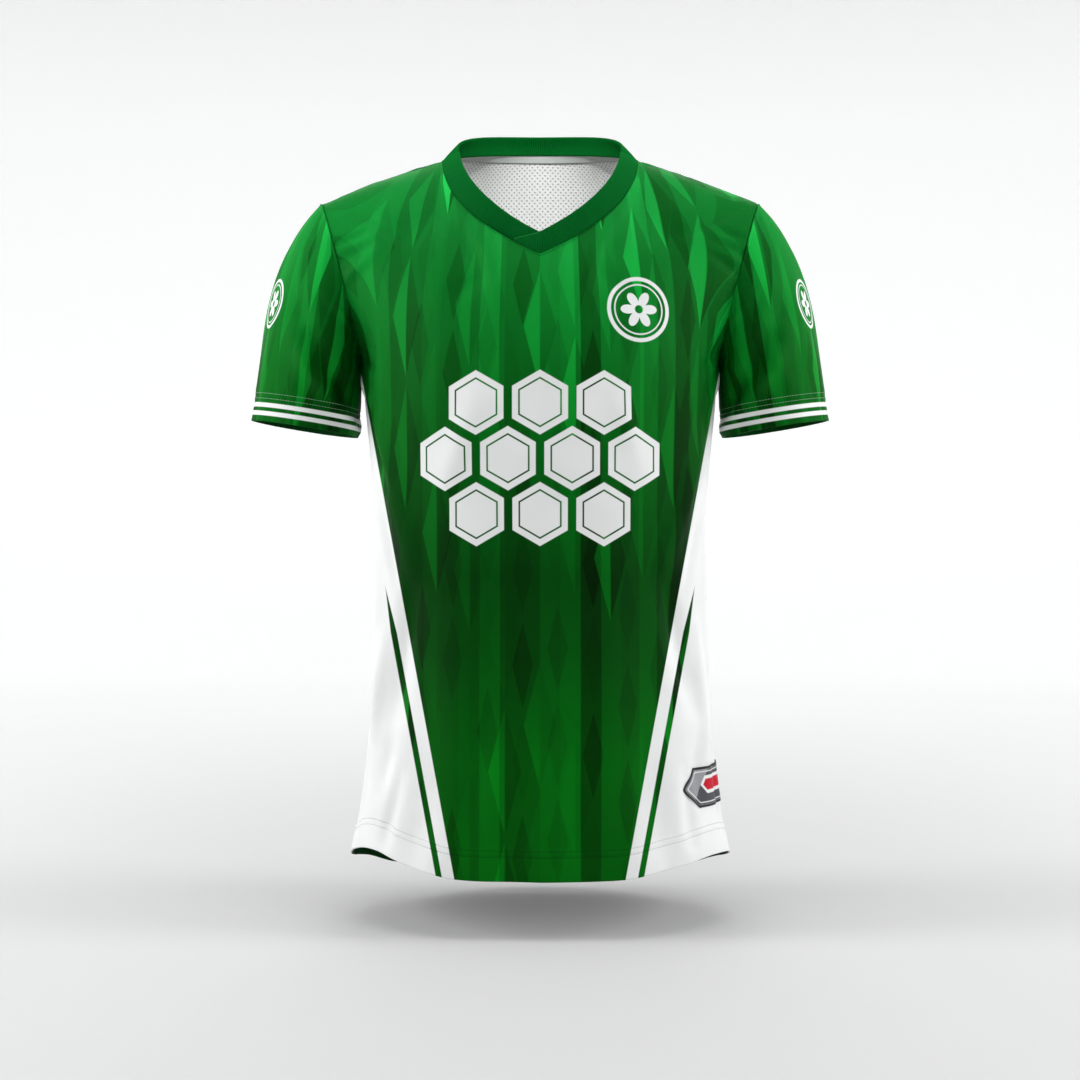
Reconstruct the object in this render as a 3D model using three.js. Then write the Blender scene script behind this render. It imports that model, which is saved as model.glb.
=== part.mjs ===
// A short-sleeved football jersey in its worn form, with nobody in it: front, back, two set-in sleeves,
// a lapped V-neck rib collar, a neck tape inside the back neck and a woven label round the left side seam.
// Millimetres. +Z is up, the front faces -Y and the wearer's left is +X.
// The origin is midway between the two neck points, where the wearer's shoulders carry the jersey.
import * as THREE from 'three';

// Driving sizes
const CLOTH = 1.5; // wall of a single layer
const HEM_CLOTH = 2.4; // wall where the cloth is turned up
const RIB = 2.6; // the folded collar rib
const SEAM_GAP = 0.3; // clearance between two sewn pieces
const FOLDED_GAP = 0.6; // how far each of them draws back where they are folded on each other
const HEM_DEPTH = 28; // turned hem of the body
const CUFF_DEPTH = 27; // turned hem of a sleeve

const NECK_POINT = new THREE.Vector3(97.3, 0, -0.6); // where shoulder seam and collar meet
const SHOULDER_POINT = new THREE.Vector3(219, 4, -44); // where shoulder seam and sleeve meet
const SHOULDER_BOW = 3; // how far the shoulder seam bows up between them
const FRONT_NECK = new THREE.Vector3(0, -99, -108.3); // bottom of the V, on the collar seam
const BACK_NECK = new THREE.Vector3(0, 66, 21); // centre back, on the collar seam
const ARMPIT_Z = -205;
const NECK_SHARE = 0.443; // share of a panel's top edge that is neckline
const NECKLINE_SPREAD = 1.25; // more than 1 draws the front's columns in toward the V

const SECTION_POWER = 2.35; // 2 is an ellipse, more is boxier
const HALF_GIRTH = 480; // girth at the centre back; 0 is the centre front and 240 the left side seam
const SIDE_SEAM = HALF_GIRTH / 2;

// Level sections of the body: half width, and how far the front and the back stand out
const bodySections = [
  { z: -730, side: 193, front: 124, back: 127 },
  { z: -692, side: 188.7, front: 122, back: 125 },
  { z: -652, side: 180.5, front: 119, back: 121 },
  { z: -604, side: 174, front: 116, back: 114 },
  { z: -552, side: 169, front: 113, back: 106 },
  { z: -486, side: 164.4, front: 110, back: 100 },
  { z: -420, side: 163.2, front: 110, back: 99 },
  { z: -360, side: 164.6, front: 114, back: 104 },
  { z: -300, side: 169, front: 120, back: 112 },
  { z: -250, side: 173.4, front: 124, back: 118 },
  { z: -205, side: 176.5, front: 124, back: 121 },
  { z: -160, side: 179, front: 122, back: 122 },
];

// Height of the hem line at each girth position on the wearer's right and left: it lifts in front of each
// side seam and drops at the back
const hemLine = [
  { girth: 0, right: -697, left: -697 },
  { girth: 77, right: -695.7, left: -696 },
  { girth: 106, right: -690, left: -691.5 },
  { girth: 131, right: -683.5, left: -687.3 },
  { girth: 156, right: -676, left: -682.8 },
  { girth: 177, right: -675.6, left: -681.5 },
  { girth: 207, right: -682, left: -684 },
  { girth: 240, right: -692.5, left: -692 },
  { girth: 275, right: -699.5, left: -700 },
  { girth: 300, right: -704.7, left: -707 },
  { girth: 333, right: -716, left: -718 },
  { girth: 400, right: -725, left: -725 },
  { girth: 480, right: -726, left: -726 },
];

// Along a panel's top edge: which way the cloth faces (out from the neck, ahead of its own side, and up)
// and how firmly it holds the direction in which it arrives there
const topFacings = {
  front: [
    { share: 0, out: 0, ahead: 0.906, up: 0.42, hold: 1 },
    { share: NECK_SHARE, out: 0.26, ahead: 0.41, up: 0.875, hold: 1 },
    { share: 1, out: 0.34, ahead: 0, up: 0.94, hold: 0.82 },
  ],
  back: [
    { share: 0, out: 0, ahead: 0.88, up: 0.47, hold: 0.8 },
    { share: NECK_SHARE, out: 0.26, ahead: -0.41, up: 0.875, hold: 0.5 },
    { share: 0.7, out: 0.32, ahead: -0.15, up: 0.91, hold: 0.6 },
    { share: 1, out: 0.34, ahead: 0, up: 0.94, hold: 0.82 },
  ],
};
const ARMHOLE_SWEEP = 0.11; // how far outward the armhole heads as it reaches the shoulder point
const ARMHOLE_LEAN = 66; // degrees by which the armhole leans away from the side seam as it leaves the armpit
const CORNER_REACH = 0.27; // stretch of top edge over which its corner is rounded in the cloth below

// The largest folds of the body. Girth runs from -480 to 480 and depth is inward, so a ridge is negative.
const bodyFolds = [
  { from: [-170, -268], to: [-134, -410], width: 17, depth: -4.5 },
  { from: [-139, -425], to: [-156, -548], width: 17, depth: 6 },
  { from: [-156, -572], to: [-166, -618], width: 13, depth: 4 },
  { from: [-205, -380], to: [-182, -560], width: 17, depth: -4 },
  { from: [176, -285], to: [134, -395], width: 17, depth: -4.5 },
  { from: [138, -428], to: [164, -535], width: 16, depth: 6 },
  { from: [168, -575], to: [162, -625], width: 13, depth: 4 },
  { from: [206, -400], to: [196, -560], width: 17, depth: -4 },
  { from: [-12, -330], to: [-28, -560], width: 42, depth: 4.5 },
  { from: [72, -420], to: [60, -640], width: 34, depth: -3.5 },
  { from: [-84, -470], to: [-78, -660], width: 32, depth: -3 },
  { from: [110, -600], to: [120, -705], width: 20, depth: 3 },
  { from: [-112, -620], to: [-120, -705], width: 20, depth: 3 },
  { from: [-40, -640], to: [-30, -705], width: 24, depth: 2.5 },
  { from: [-205, -62], to: [-150, -92], width: 9, depth: 2.4 },
  { from: [212, -62], to: [160, -86], width: 9, depth: 2.4 },
  { from: [-165, -92], to: [-92, -60], width: 24, depth: 3.5 },
  { from: [170, -96], to: [98, -66], width: 24, depth: 3.5 },
  { from: [300, -250], to: [345, -430], width: 20, depth: 5 },
  { from: [-296, -240], to: [-350, -440], width: 20, depth: 5 },
  { from: [395, -330], to: [372, -560], width: 26, depth: -4.5 },
  { from: [-388, -310], to: [-380, -540], width: 26, depth: -4.5 },
  { from: [470, -380], to: [478, -620], width: 30, depth: 5 },
  { from: [288, -430], to: [296, -600], width: 18, depth: 5 },
  { from: [-286, -450], to: [-300, -610], width: 18, depth: 5 },
  { from: [330, -600], to: [322, -715], width: 22, depth: 4 },
  { from: [-345, -590], to: [-335, -715], width: 22, depth: 4 },
];

// The sleeve: outer and inner corners of the cuff seen from the front, and its depth front to back
const CUFF_OUTER = new THREE.Vector3(288, 2, -260);
const CUFF_INNER = new THREE.Vector3(182.5, 2, -276.5);
const CUFF_HALF_DEPTH = 57;
const SLEEVE_HEAD_DIRECTION = new THREE.Vector3(0.71, 0, -0.7); // how the cloth leaves the shoulder point
const UNDERARM_DIRECTION = new THREE.Vector3(0.13, 0, -1); // how it leaves the armpit
const SLEEVE_FULLNESS = 0.2; // how much front and back swell on leaving the armhole

// The largest folds of a sleeve. Turn is 0 at the armpit and 0.5 at the shoulder point by way of the front,
// and along is the share of the way from armhole to cuff.
const sleeveFolds = [
  { from: [0.07, 0.25], to: [0.2, 0.75], width: 0.03, depth: 4.5 },
  { from: [0.15, 0.12], to: [0.3, 0.4], width: 0.035, depth: -3 },
  { from: [0.9, 0.25], to: [0.78, 0.7], width: 0.035, depth: 4.5 },
  { from: [0.84, 0.12], to: [0.7, 0.42], width: 0.035, depth: -3 },
  { from: [0.36, 0.45], to: [0.4, 0.85], width: 0.04, depth: 2.5 },
];
const SLEEVE_FOLD_LENGTH = 0.5; // how much one unit of along weighs against one of turn

// The collar: top edge at the V, at the side of the neck and at the centre back
const COLLAR_TOP_FRONT = new THREE.Vector3(0, -97, -87.4);
const COLLAR_TOP_SIDE = new THREE.Vector3(80.4, -4.1, 8.9);
const COLLAR_TOP_BACK = new THREE.Vector3(0, 57, 37.5);
const COLLAR_LAP = 0.115; // how far the upper end runs past the centre, as a share of the front neckline
const COLLAR_ROLL = 1.6; // how far the band bows out between its seam and its top edge

// The woven label, over the wearer's left side seam
const LABEL_FROM = 143; // girth positions of its two ends
const LABEL_TO = 262;
const LABEL_TOP_Z = -598;
const LABEL_HEIGHT = 38;
const LABEL_CORNER = 10;
const LABEL_WALL = 1.1;

const TAPE_WIDTH = 9;
const TAPE_WALL = 1;
const LAID_ON = 0.5; // clearance under a piece that lies on a panel

// How finely the pieces are divided
const NECK_COLUMNS = 7; // on each side of the centre, under the neckline
const SHOULDER_COLUMNS = 8; // on each side, under the shoulder seam
const HEM_ROWS = 2;
const BODY_ROWS = 24; // from hem turn-up to armpit
const YOKE_ROWS = 13; // from armpit to neckline and shoulder seam
const SLEEVE_ROWS = 11;

const BACKWARD = new THREE.Vector3(0, 1, 0);

// Small helpers

const smooth = (t) => {
  const c = THREE.MathUtils.clamp(t, 0, 1);
  return c * c * (3 - 2 * c);
};

const mirrored = (p, side) => new THREE.Vector3(p.x * side, p.y, p.z);

// Reads one column of a table at a position between its rows, on a smooth curve through them.
function readTable(rows, key, at, column) {
  let i = 0;
  while (i < rows.length - 2 && rows[i + 1][key] < at) i += 1;
  const slope = (k) => {
    const a = rows[Math.max(k - 1, 0)];
    const b = rows[Math.min(k + 1, rows.length - 1)];
    return (b[column] - a[column]) / (b[key] - a[key]);
  };
  const [a, b] = [rows[i], rows[i + 1]];
  const step = b[key] - a[key];
  const t = THREE.MathUtils.clamp((at - a[key]) / step, 0, 1);
  const keep = 2 * t ** 3 - 3 * t ** 2 + 1;
  return (
    keep * a[column] +
    (1 - keep) * b[column] +
    (t ** 3 - 2 * t ** 2 + t) * step * slope(i) +
    (t ** 3 - t ** 2) * step * slope(i + 1)
  );
}

// A curve that leaves a in one direction and reaches b in another, as round as an arc of the same turn.
// Hold tells how firmly it keeps to the second direction.
function arcBetween(a, b, leave, arrive, t, hold = 1) {
  const turn = leave.angleTo(arrive);
  const reach = a.distanceTo(b) / Math.cos(turn / 4) ** 2;
  const keep = 2 * t ** 3 - 3 * t ** 2 + 1;
  return new THREE.Vector3()
    .addScaledVector(a, keep)
    .addScaledVector(b, 1 - keep)
    .addScaledVector(leave, reach * (t ** 3 - 2 * t ** 2 + t))
    .addScaledVector(arrive, hold * reach * (t ** 3 - t ** 2));
}

// How far a table of folds pushes the cloth inward at a place on it. Each is a trough with soft shoulders.
function foldDepth(folds, place, stretch = 1) {
  let depth = 0;
  for (const fold of folds) {
    const run = [fold.to[0] - fold.from[0], (fold.to[1] - fold.from[1]) * stretch];
    const away = [place[0] - fold.from[0], (place[1] - fold.from[1]) * stretch];
    const length = run[0] ** 2 + run[1] ** 2;
    const along = THREE.MathUtils.clamp((away[0] * run[0] + away[1] * run[1]) / length, 0, 1);
    const off = ((away[0] - along * run[0]) ** 2 + (away[1] - along * run[1]) ** 2) / fold.width ** 2;
    depth += fold.depth * (1 - 0.5 * off) * Math.exp(-off) * (0.45 + 0.55 * Math.sin(Math.PI * along));
  }
  return depth;
}

// The body as worn

// A point of the level section at z. Girth is signed, and 240 is the side seam.
function bodyRing(girth, z) {
  const turn = ((girth / SIDE_SEAM) * Math.PI) / 2;
  const side = readTable(bodySections, 'z', z, 'side');
  const deep = readTable(bodySections, 'z', z, Math.abs(girth) <= SIDE_SEAM ? 'front' : 'back');
  const polar = Math.atan2(Math.sqrt(side) * Math.sin(turn), Math.sqrt(deep) * Math.cos(turn));
  const across = Math.abs(Math.sin(polar) / side) ** SECTION_POWER;
  const forward = Math.abs(Math.cos(polar) / deep) ** SECTION_POWER;
  const radius = (across + forward) ** (-1 / SECTION_POWER);
  return new THREE.Vector3(radius * Math.sin(polar), -radius * Math.cos(polar), z);
}

const girthAt = (panel, u) =>
  panel === 'front' ? u * SIDE_SEAM : Math.sign(u || 1) * HALF_GIRTH - u * SIDE_SEAM;

const hemHeight = (girth) => readTable(hemLine, 'girth', Math.abs(girth), girth < 0 ? 'right' : 'left');

const frontNeckline = new THREE.CubicBezierCurve3(
  FRONT_NECK,
  new THREE.Vector3(80.4, -85, -72.5),
  new THREE.Vector3(93, -72.2, -34.5),
  NECK_POINT,
);
const backNeckline = new THREE.CubicBezierCurve3(
  BACK_NECK,
  new THREE.Vector3(48, 66, 21),
  new THREE.Vector3(99, 29, 12),
  NECK_POINT,
);

// Top edge of a panel: half the neckline, then the shoulder seam out to the sleeve.
function topEdge(panel, u) {
  const share = Math.abs(u);
  const side = u < 0 ? -1 : 1;
  if (share <= NECK_SHARE) {
    const neckline = panel === 'front' ? frontNeckline : backNeckline;
    const t = (share / NECK_SHARE) ** (panel === 'front' ? NECKLINE_SPREAD : 1);
    return mirrored(neckline.getPoint(t), side);
  }
  const s = (share - NECK_SHARE) / (1 - NECK_SHARE);
  const p = NECK_POINT.clone().lerp(SHOULDER_POINT, s);
  p.z += SHOULDER_BOW * Math.sin(Math.PI * s);
  return mirrored(p, side);
}

// The top edge with its corner at the neck point rounded off: the cloth below the corner has no crease.
function roundedTopEdge(panel, u) {
  const share = Math.abs(u);
  const t = (share - NECK_SHARE + CORNER_REACH) / (2 * CORNER_REACH);
  if (t <= 0 || t >= 1) return topEdge(panel, u);
  const [a, b, c] = [-1, 0, 1].map((k) => topEdge(panel, NECK_SHARE + k * CORNER_REACH));
  const p = a.multiplyScalar((1 - t) ** 2).addScaledVector(b, 2 * t * (1 - t)).addScaledVector(c, t * t);
  return mirrored(p, u < 0 ? -1 : 1);
}

// The direction in which the cloth reaches that edge: square to its facing there, going over the shoulder.
function topDirection(panel, u) {
  const share = Math.abs(u);
  const backward = panel === 'front' ? 1 : -1;
  const read = (column) => readTable(topFacings[panel], 'share', share, column);
  const inside = Math.min(share, 0.999);
  const along = topEdge(panel, inside + 0.001).sub(topEdge(panel, inside)).normalize();
  const facing = new THREE.Vector3(read('out'), -backward * read('ahead'), read('up'));
  facing.addScaledVector(along, -facing.dot(along)).normalize();
  const rise = topEdge(panel, share).sub(bodyRing(girthAt(panel, share), ARMPIT_Z)).normalize();
  rise.lerp(new THREE.Vector3(ARMHOLE_SWEEP, backward, 0), share);
  rise.addScaledVector(facing, -rise.dot(facing)).normalize();
  return mirrored(rise, u < 0 ? -1 : 1);
}

// The direction in which the cloth leaves armpit level: upward, and round the armhole near the side seam.
function yokeDirection(panel, u) {
  const girth = girthAt(panel, u);
  const step = 1;
  const up = bodyRing(girth, ARMPIT_Z + step).sub(bodyRing(girth, ARMPIT_Z - step)).normalize();
  const inward = Math.sign(girthAt(panel, 0.5 * Math.sign(u || 1)) - girthAt(panel, Math.sign(u || 1)));
  const level = bodyRing(girth + inward, ARMPIT_Z).sub(bodyRing(girth, ARMPIT_Z)).normalize();
  const lean = THREE.MathUtils.degToRad(ARMHOLE_LEAN) * Math.max((Math.abs(u) - 0.3) / 0.7, 0) ** 1.2;
  return up.multiplyScalar(Math.cos(lean)).addScaledVector(level, Math.sin(lean));
}

// The smooth body before its folds. v is 0 at the hem, 1 at armpit level and 2 at the top edge.
function smoothBody(panel, u, v) {
  const girth = girthAt(panel, u);
  if (v <= 1) {
    return bodyRing(girth, THREE.MathUtils.lerp(hemHeight(girth), ARMPIT_Z, v));
  }
  const start = bodyRing(girth, ARMPIT_Z);
  const hold = readTable(topFacings[panel], 'share', Math.abs(u), 'hold');
  const rounded = roundedTopEdge(panel, u);
  const p = arcBetween(start, rounded, yokeDirection(panel, u), topDirection(panel, u), v - 1, hold);
  return p.addScaledVector(topEdge(panel, u).sub(rounded), smooth((v - 1.55) / 0.45));
}

function normalOf(surface, a, b) {
  const step = 0.004;
  const alongA = surface(a + step, b).sub(surface(a - step, b));
  const low = Math.max(b - step, 0);
  const alongB = surface(a, b + step).sub(surface(a, low));
  return alongA.cross(alongB).normalize();
}

// The outer face of a panel, with its folds fading out before a seam that has to meet another piece.
function bodyPoint(panel, u, v) {
  const girth = girthAt(panel, u);
  const p = smoothBody(panel, u, v);
  const outward = normalOf((a, b) => smoothBody(panel, a, b), u, Math.min(v, 1.996));
  if (panel === 'back') outward.negate();
  const fromArmhole = v > 1 ? ((1 - Math.abs(u)) * SIDE_SEAM) / 14 : 9;
  const blend = v > 1 ? smooth((v - 1) / 0.12) : 0;
  const fade = (1 - blend * (1 - smooth(fromArmhole))) * smooth((2 - v) / 0.14);
  const depth = foldDepth(bodyFolds, [girth, p.z]) + wrapped(girth, p.z);
  return p.addScaledVector(outward, -depth * fade);
}

// Folds that cross the centre back are met again from the other side.
function wrapped(girth, z) {
  const other = girth > 0 ? girth - 2 * HALF_GIRTH : girth + 2 * HALF_GIRTH;
  return Math.abs(girth) > HALF_GIRTH - 120 ? foldDepth(bodyFolds, [other, z]) : 0;
}

// The sleeves

// A point of the armhole. Turn is 0 at the armpit, 0.5 at the shoulder point by way of the front.
function armhole(side, turn) {
  const panel = turn <= 0.5 ? 'front' : 'back';
  const share = turn <= 0.5 ? turn * 2 : (1 - turn) * 2;
  return smoothBody(panel, side, 1 + share);
}

const cuffCentre = CUFF_OUTER.clone().add(CUFF_INNER).multiplyScalar(0.5);
const cuffOutward = CUFF_OUTER.clone().sub(cuffCentre);
const sleeveAxis = new THREE.Vector3().crossVectors(cuffOutward, BACKWARD).normalize();
if (sleeveAxis.z > 0) sleeveAxis.negate();

function cuffPoint(side, turn) {
  const angle = turn * 2 * Math.PI;
  const p = cuffCentre.clone().addScaledVector(cuffOutward, -Math.cos(angle));
  p.y -= CUFF_HALF_DEPTH * Math.sin(angle);
  return mirrored(p, side);
}

function smoothSleeve(side, turn, along) {
  const angle = turn * 2 * Math.PI;
  const head = (1 - Math.cos(angle)) / 2;
  const leave = UNDERARM_DIRECTION.clone().lerp(SLEEVE_HEAD_DIRECTION, head);
  leave.y -= SLEEVE_FULLNESS * Math.sin(angle);
  return arcBetween(
    armhole(side, turn),
    cuffPoint(side, turn),
    mirrored(leave.normalize(), side),
    mirrored(sleeveAxis, side),
    along,
  );
}

function sleevePoint(side, turn, along) {
  const p = smoothSleeve(side, turn, along);
  const outward = normalOf((a, b) => smoothSleeve(side, a, b), turn, Math.min(along, 0.996));
  outward.multiplyScalar(side);
  const fade = smooth(along / 0.16) * smooth((1.15 - along) / 0.25);
  const depth =
    foldDepth(sleeveFolds, [turn, along], SLEEVE_FOLD_LENGTH) +
    foldDepth(sleeveFolds, [turn - 1, along], SLEEVE_FOLD_LENGTH);
  return p.addScaledVector(outward, -depth * fade);
}

// A piece of cloth before it has a wall: a grid of outer points and, at each, the way out

function pieceOf(name, rows, columns, place, closed = false) {
  const points = rows.map((r) => columns.map((c) => place(c, r)));
  const piece = { name, points, closed, rows: rows.length, columns: columns.length, drawBack: [] };
  piece.normals = points.map((row, i) => row.map((_, j) => gridNormal(piece, i, j)));
  return piece;
}

function gridNormal(piece, i, j) {
  const { points, rows, columns, closed } = piece;
  const left = closed ? (j + columns - 1) % columns : Math.max(j - 1, 0);
  const right = closed ? (j + 1) % columns : Math.min(j + 1, columns - 1);
  const across = points[i][right].clone().sub(points[i][left]);
  const upward = points[Math.min(i + 1, rows - 1)][j].clone().sub(points[Math.max(i - 1, 0)][j]);
  return across.cross(upward).normalize();
}

// The way into a piece from a point of its edge. At the armpit that is down the side seam.
function wayIn({ points, rows, columns, closed }, i, j) {
  const down = i === rows - 1 || i === armpitRow;
  const inside = down || closed ? j : THREE.MathUtils.clamp(j, 1, columns - 2);
  return points[down ? i - 1 : i][inside].clone().sub(points[i][j]).normalize();
}

const sumOf = (vectors) => vectors.reduce((sum, v) => sum.add(v), new THREE.Vector3()).normalize();

// Pieces that meet at a point of a seam share one mitre there, so that their walls do not cross. Where they
// are folded on each other the mitre opens toward both of them, and each draws back into its own side.
function sew(...places) {
  const facings = places.map(([piece, i, j]) => piece.normals[i][j]);
  const ways = places.map((place) => wayIn(...place));
  const across = sumOf(facings.slice(1));
  const folded = Math.max(0, -facings[0].dot(across));
  const between = ways[0].clone().add(sumOf(ways.slice(1)));
  const mitre = facings[0].clone().add(across).addScaledVector(between, folded).normalize();
  const lengthen = 1 / Math.max(mitre.dot(facings[0]), 0.6);
  places.forEach(([piece, i, j], k) => {
    piece.drawBack.push({ i, j, by: facings[k].clone().multiplyScalar(-FOLDED_GAP * folded) });
    piece.normals[i][j] = mitre.clone().multiplyScalar(lengthen);
  });
}

// The wall of a piece: its outer points, the same points moved in by the thickness, and the edges between.
function wallOf(piece, thicknessAt, trim) {
  const { rows, columns, closed, normals } = piece;
  const outer = piece.points.map((row) => row.map((p) => p.clone()));
  const inner = outer.map((row, i) =>
    row.map((p, j) => p.clone().addScaledVector(normals[i][j], -thicknessAt(i, j))),
  );
  // Moves an edge point square to its edge, into the piece.
  const pull = (i, j, m, n) => {
    const along = edgeDirection(piece, i, j, i === m);
    const away = piece.points[m][n].clone().sub(piece.points[i][j]);
    away.addScaledVector(along, -away.dot(along)).normalize();
    for (const grid of [outer, inner]) grid[i][j].addScaledVector(away, SEAM_GAP / 2 + 0.05);
  };
  for (let i = 0; i < rows && !closed; i += 1) {
    if (trim.sides) pull(i, 0, i, 1);
    if (trim.sides) pull(i, columns - 1, i, columns - 2);
  }
  for (let j = 0; j < columns; j += 1) {
    if (trim.bottom) pull(0, j, 1, j);
    if (trim.top) pull(rows - 1, j, rows - 2, j);
  }
  for (const { i, j, by } of piece.drawBack) for (const grid of [outer, inner]) grid[i][j].add(by);
  return closedGrid(outer, inner, closed);
}

// The direction of a side edge, or of the top or bottom edge, at one of its points.
function edgeDirection({ points, rows, columns, closed }, i, j, atSide) {
  const between = (from, to) => to.clone().sub(from).normalize();
  if (atSide) return between(points[Math.max(i - 1, 0)][j], points[Math.min(i + 1, rows - 1)][j]);
  const right = closed ? (j + 1) % columns : Math.min(j + 1, columns - 1);
  const left = closed ? (j + columns - 1) % columns : Math.max(j - 1, 0);
  return between(points[i][left], points[i][right]);
}

// Each four-sided cell is split along its shorter diagonal: rising with the columns, or falling.
const rises = (a, b, c, d) => a.distanceTo(c) <= b.distanceTo(d);

// Triangles of a wall given as two grids of points, outer and inner.
function closedGrid(outer, inner, closed) {
  const rows = outer.length;
  const columns = outer[0].length;
  const points = [...outer.flat(), ...inner.flat()];
  const at = (layer, i, j) => layer * rows * columns + i * columns + (j % columns);
  const index = [];
  const quad = (a, b, c, d) => index.push(a, b, c, a, c, d);
  const edge = (a, b, c, d) => {
    if (rises(points[a], points[b], points[c], points[d])) quad(a, b, c, d);
    else quad(b, c, d, a);
  };
  const spans = closed ? columns : columns - 1;
  for (let i = 0; i < rows - 1; i += 1) {
    for (let j = 0; j < spans; j += 1) {
      const k = (j + 1) % columns;
      const corners = [at(0, i, j), at(0, i, k), at(0, i + 1, k), at(0, i + 1, j)];
      const behind = corners.map((c) => c + rows * columns);
      const [a, b, c, d] = rises(...corners.map((n) => points[n])) ? [0, 1, 2, 3] : [1, 2, 3, 0];
      quad(corners[a], corners[b], corners[c], corners[d]);
      quad(behind[a], behind[d], behind[c], behind[b]);
    }
    if (!closed) {
      const last = columns - 1;
      edge(at(0, i, 0), at(0, i + 1, 0), at(1, i + 1, 0), at(1, i, 0));
      edge(at(0, i, last), at(1, i, last), at(1, i + 1, last), at(0, i + 1, last));
    }
  }
  const top = rows - 1;
  for (let j = 0; j < spans; j += 1) {
    edge(at(0, 0, j), at(1, 0, j), at(1, 0, j + 1), at(0, 0, j + 1));
    edge(at(0, top, j), at(0, top, j + 1), at(1, top, j + 1), at(1, top, j));
  }
  const position = points.flatMap((p) => [p.x, p.y, p.z]);
  const geometry = new THREE.BufferGeometry();
  geometry.setAttribute('position', new THREE.Float32BufferAttribute(position, 3));
  geometry.setIndex(index);
  return geometry;
}

// Columns and rows shared by the pieces, so that both sides of a seam have the same points

function steps(from, to, count) {
  return Array.from({ length: count }, (_, k) => from + ((to - from) * (k + 1)) / count);
}

const halfColumns = [...steps(0, NECK_SHARE, NECK_COLUMNS), ...steps(NECK_SHARE, 1, SHOULDER_COLUMNS)];
const panelColumns = [...halfColumns.map((u) => -u).reverse(), 0, ...halfColumns];
const centreColumn = halfColumns.length;
const hemTop = HEM_DEPTH / (ARMPIT_Z - hemHeight(0));
const panelRows = [
  0,
  ...steps(0, hemTop, HEM_ROWS),
  ...steps(hemTop + 0.006, 1, BODY_ROWS),
  ...steps(1, 2, YOKE_ROWS),
];
const armpitRow = HEM_ROWS + BODY_ROWS;
const topRow = panelRows.length - 1;
const bodyWall = (row) => (row <= HEM_ROWS ? HEM_CLOTH : CLOTH);

const front = pieceOf('front', panelRows, panelColumns, (u, v) => bodyPoint('front', u, v));
// Seen from outside, the back's columns run the other way.
const back = pieceOf('back', panelRows, panelColumns, (u, v) => bodyPoint('back', -u, v));

// Armhole turns at the rows of the panels, so that sleeve and panels have the same points.
const yokeShares = [0, ...steps(0, 1, YOKE_ROWS)];
const sleeveTurns = [
  ...yokeShares.map((s) => s / 2),
  ...yokeShares.slice(1, -1).map((s) => 1 - s / 2).reverse(),
];
const cuffTop = 1 - CUFF_DEPTH / 150;
const sleeveRows = [0, ...steps(0, cuffTop, SLEEVE_ROWS - 2), cuffTop + 0.02, 1];
const sleeveWall = (row) => (row >= SLEEVE_ROWS - 1 ? HEM_CLOTH : CLOTH);

// Turns in the order that runs from the wearer's right to the left across the front of the sleeve.
const turnsOf = (side) =>
  side > 0 ? sleeveTurns : [sleeveTurns[0], ...sleeveTurns.slice(1).reverse()];

function sleeve(name, side) {
  const place = (turn, along) => sleevePoint(side, turn, along);
  return pieceOf(name, [...sleeveRows].reverse(), turnsOf(side), place, true);
}
const sleeveRight = sleeve('sleeve_right', -1);
const sleeveLeft = sleeve('sleeve_left', 1);

// The collar

const collarTopFront = new THREE.CubicBezierCurve3(
  COLLAR_TOP_FRONT,
  new THREE.Vector3(57.3, -86.3, -57.1),
  new THREE.Vector3(76.5, -75.9, -24.1),
  COLLAR_TOP_SIDE,
);
const collarTopBack = new THREE.CubicBezierCurve3(
  COLLAR_TOP_BACK,
  new THREE.Vector3(60, 57, 38),
  new THREE.Vector3(90.5, 22, 31),
  COLLAR_TOP_SIDE,
);

// A place on the collar. Way is 0 at the centre front, 1 at the neck point and 2 at the centre back.
function collarPoint(side, way, height) {
  const t = way <= 1 ? way ** NECKLINE_SPREAD : 2 - way;
  const seam = (way <= 1 ? frontNeckline : backNeckline).getPoint(t);
  const edge = (way <= 1 ? collarTopFront : collarTopBack).getPoint(t);
  const p = seam.clone().lerp(edge, height);
  const outward = new THREE.Vector3(p.x, p.y, 0).normalize();
  p.addScaledVector(outward, COLLAR_ROLL * Math.sin(Math.PI * height));
  return mirrored(p, side);
}

// Past the centre front the upper end lies over the lower one, narrowing to its own corner on the seam.
function collarLapPoint(share, height) {
  const seam = mirrored(frontNeckline.getPoint(share * COLLAR_LAP), -1);
  const corner = mirrored(frontNeckline.getPoint(COLLAR_LAP), -1);
  corner.z += 1.5;
  const edge = collarPoint(1, 0, 1).lerp(corner, share);
  const p = seam.lerp(edge, height);
  p.y -= COLLAR_ROLL * Math.sin(Math.PI * height) * (1 - share);
  return p;
}

const collarHeights = [0, 0.25, 0.5, 0.75, 1];
const collarStations = [
  ...[1, 0.75, 0.5, 0.25].map((share) => ({ lap: share })),
  ...[0, ...steps(0, 1, NECK_COLUMNS)].map((way) => ({ side: 1, way })),
  ...steps(1, 2, NECK_COLUMNS).map((way) => ({ side: 1, way })),
  ...steps(0, 1, NECK_COLUMNS).map((t) => ({ side: -1, way: 2 - t })),
  ...steps(0, 1, NECK_COLUMNS).map((t) => ({ side: -1, way: 1 - t })),
];
const LAP_DROP = RIB + SEAM_GAP + 0.3; // how far the lower end is tucked behind the upper one

function collarPlace(station, height) {
  if (station.lap) return collarLapPoint(station.lap, height);
  const p = collarPoint(station.side, station.way, height);
  if (station.side < 0) p.y += LAP_DROP * (1 - smooth((station.way - 0.2) / 0.25));
  return p;
}

const collar = pieceOf('collar', collarHeights, collarStations, collarPlace);

// Seams

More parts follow.
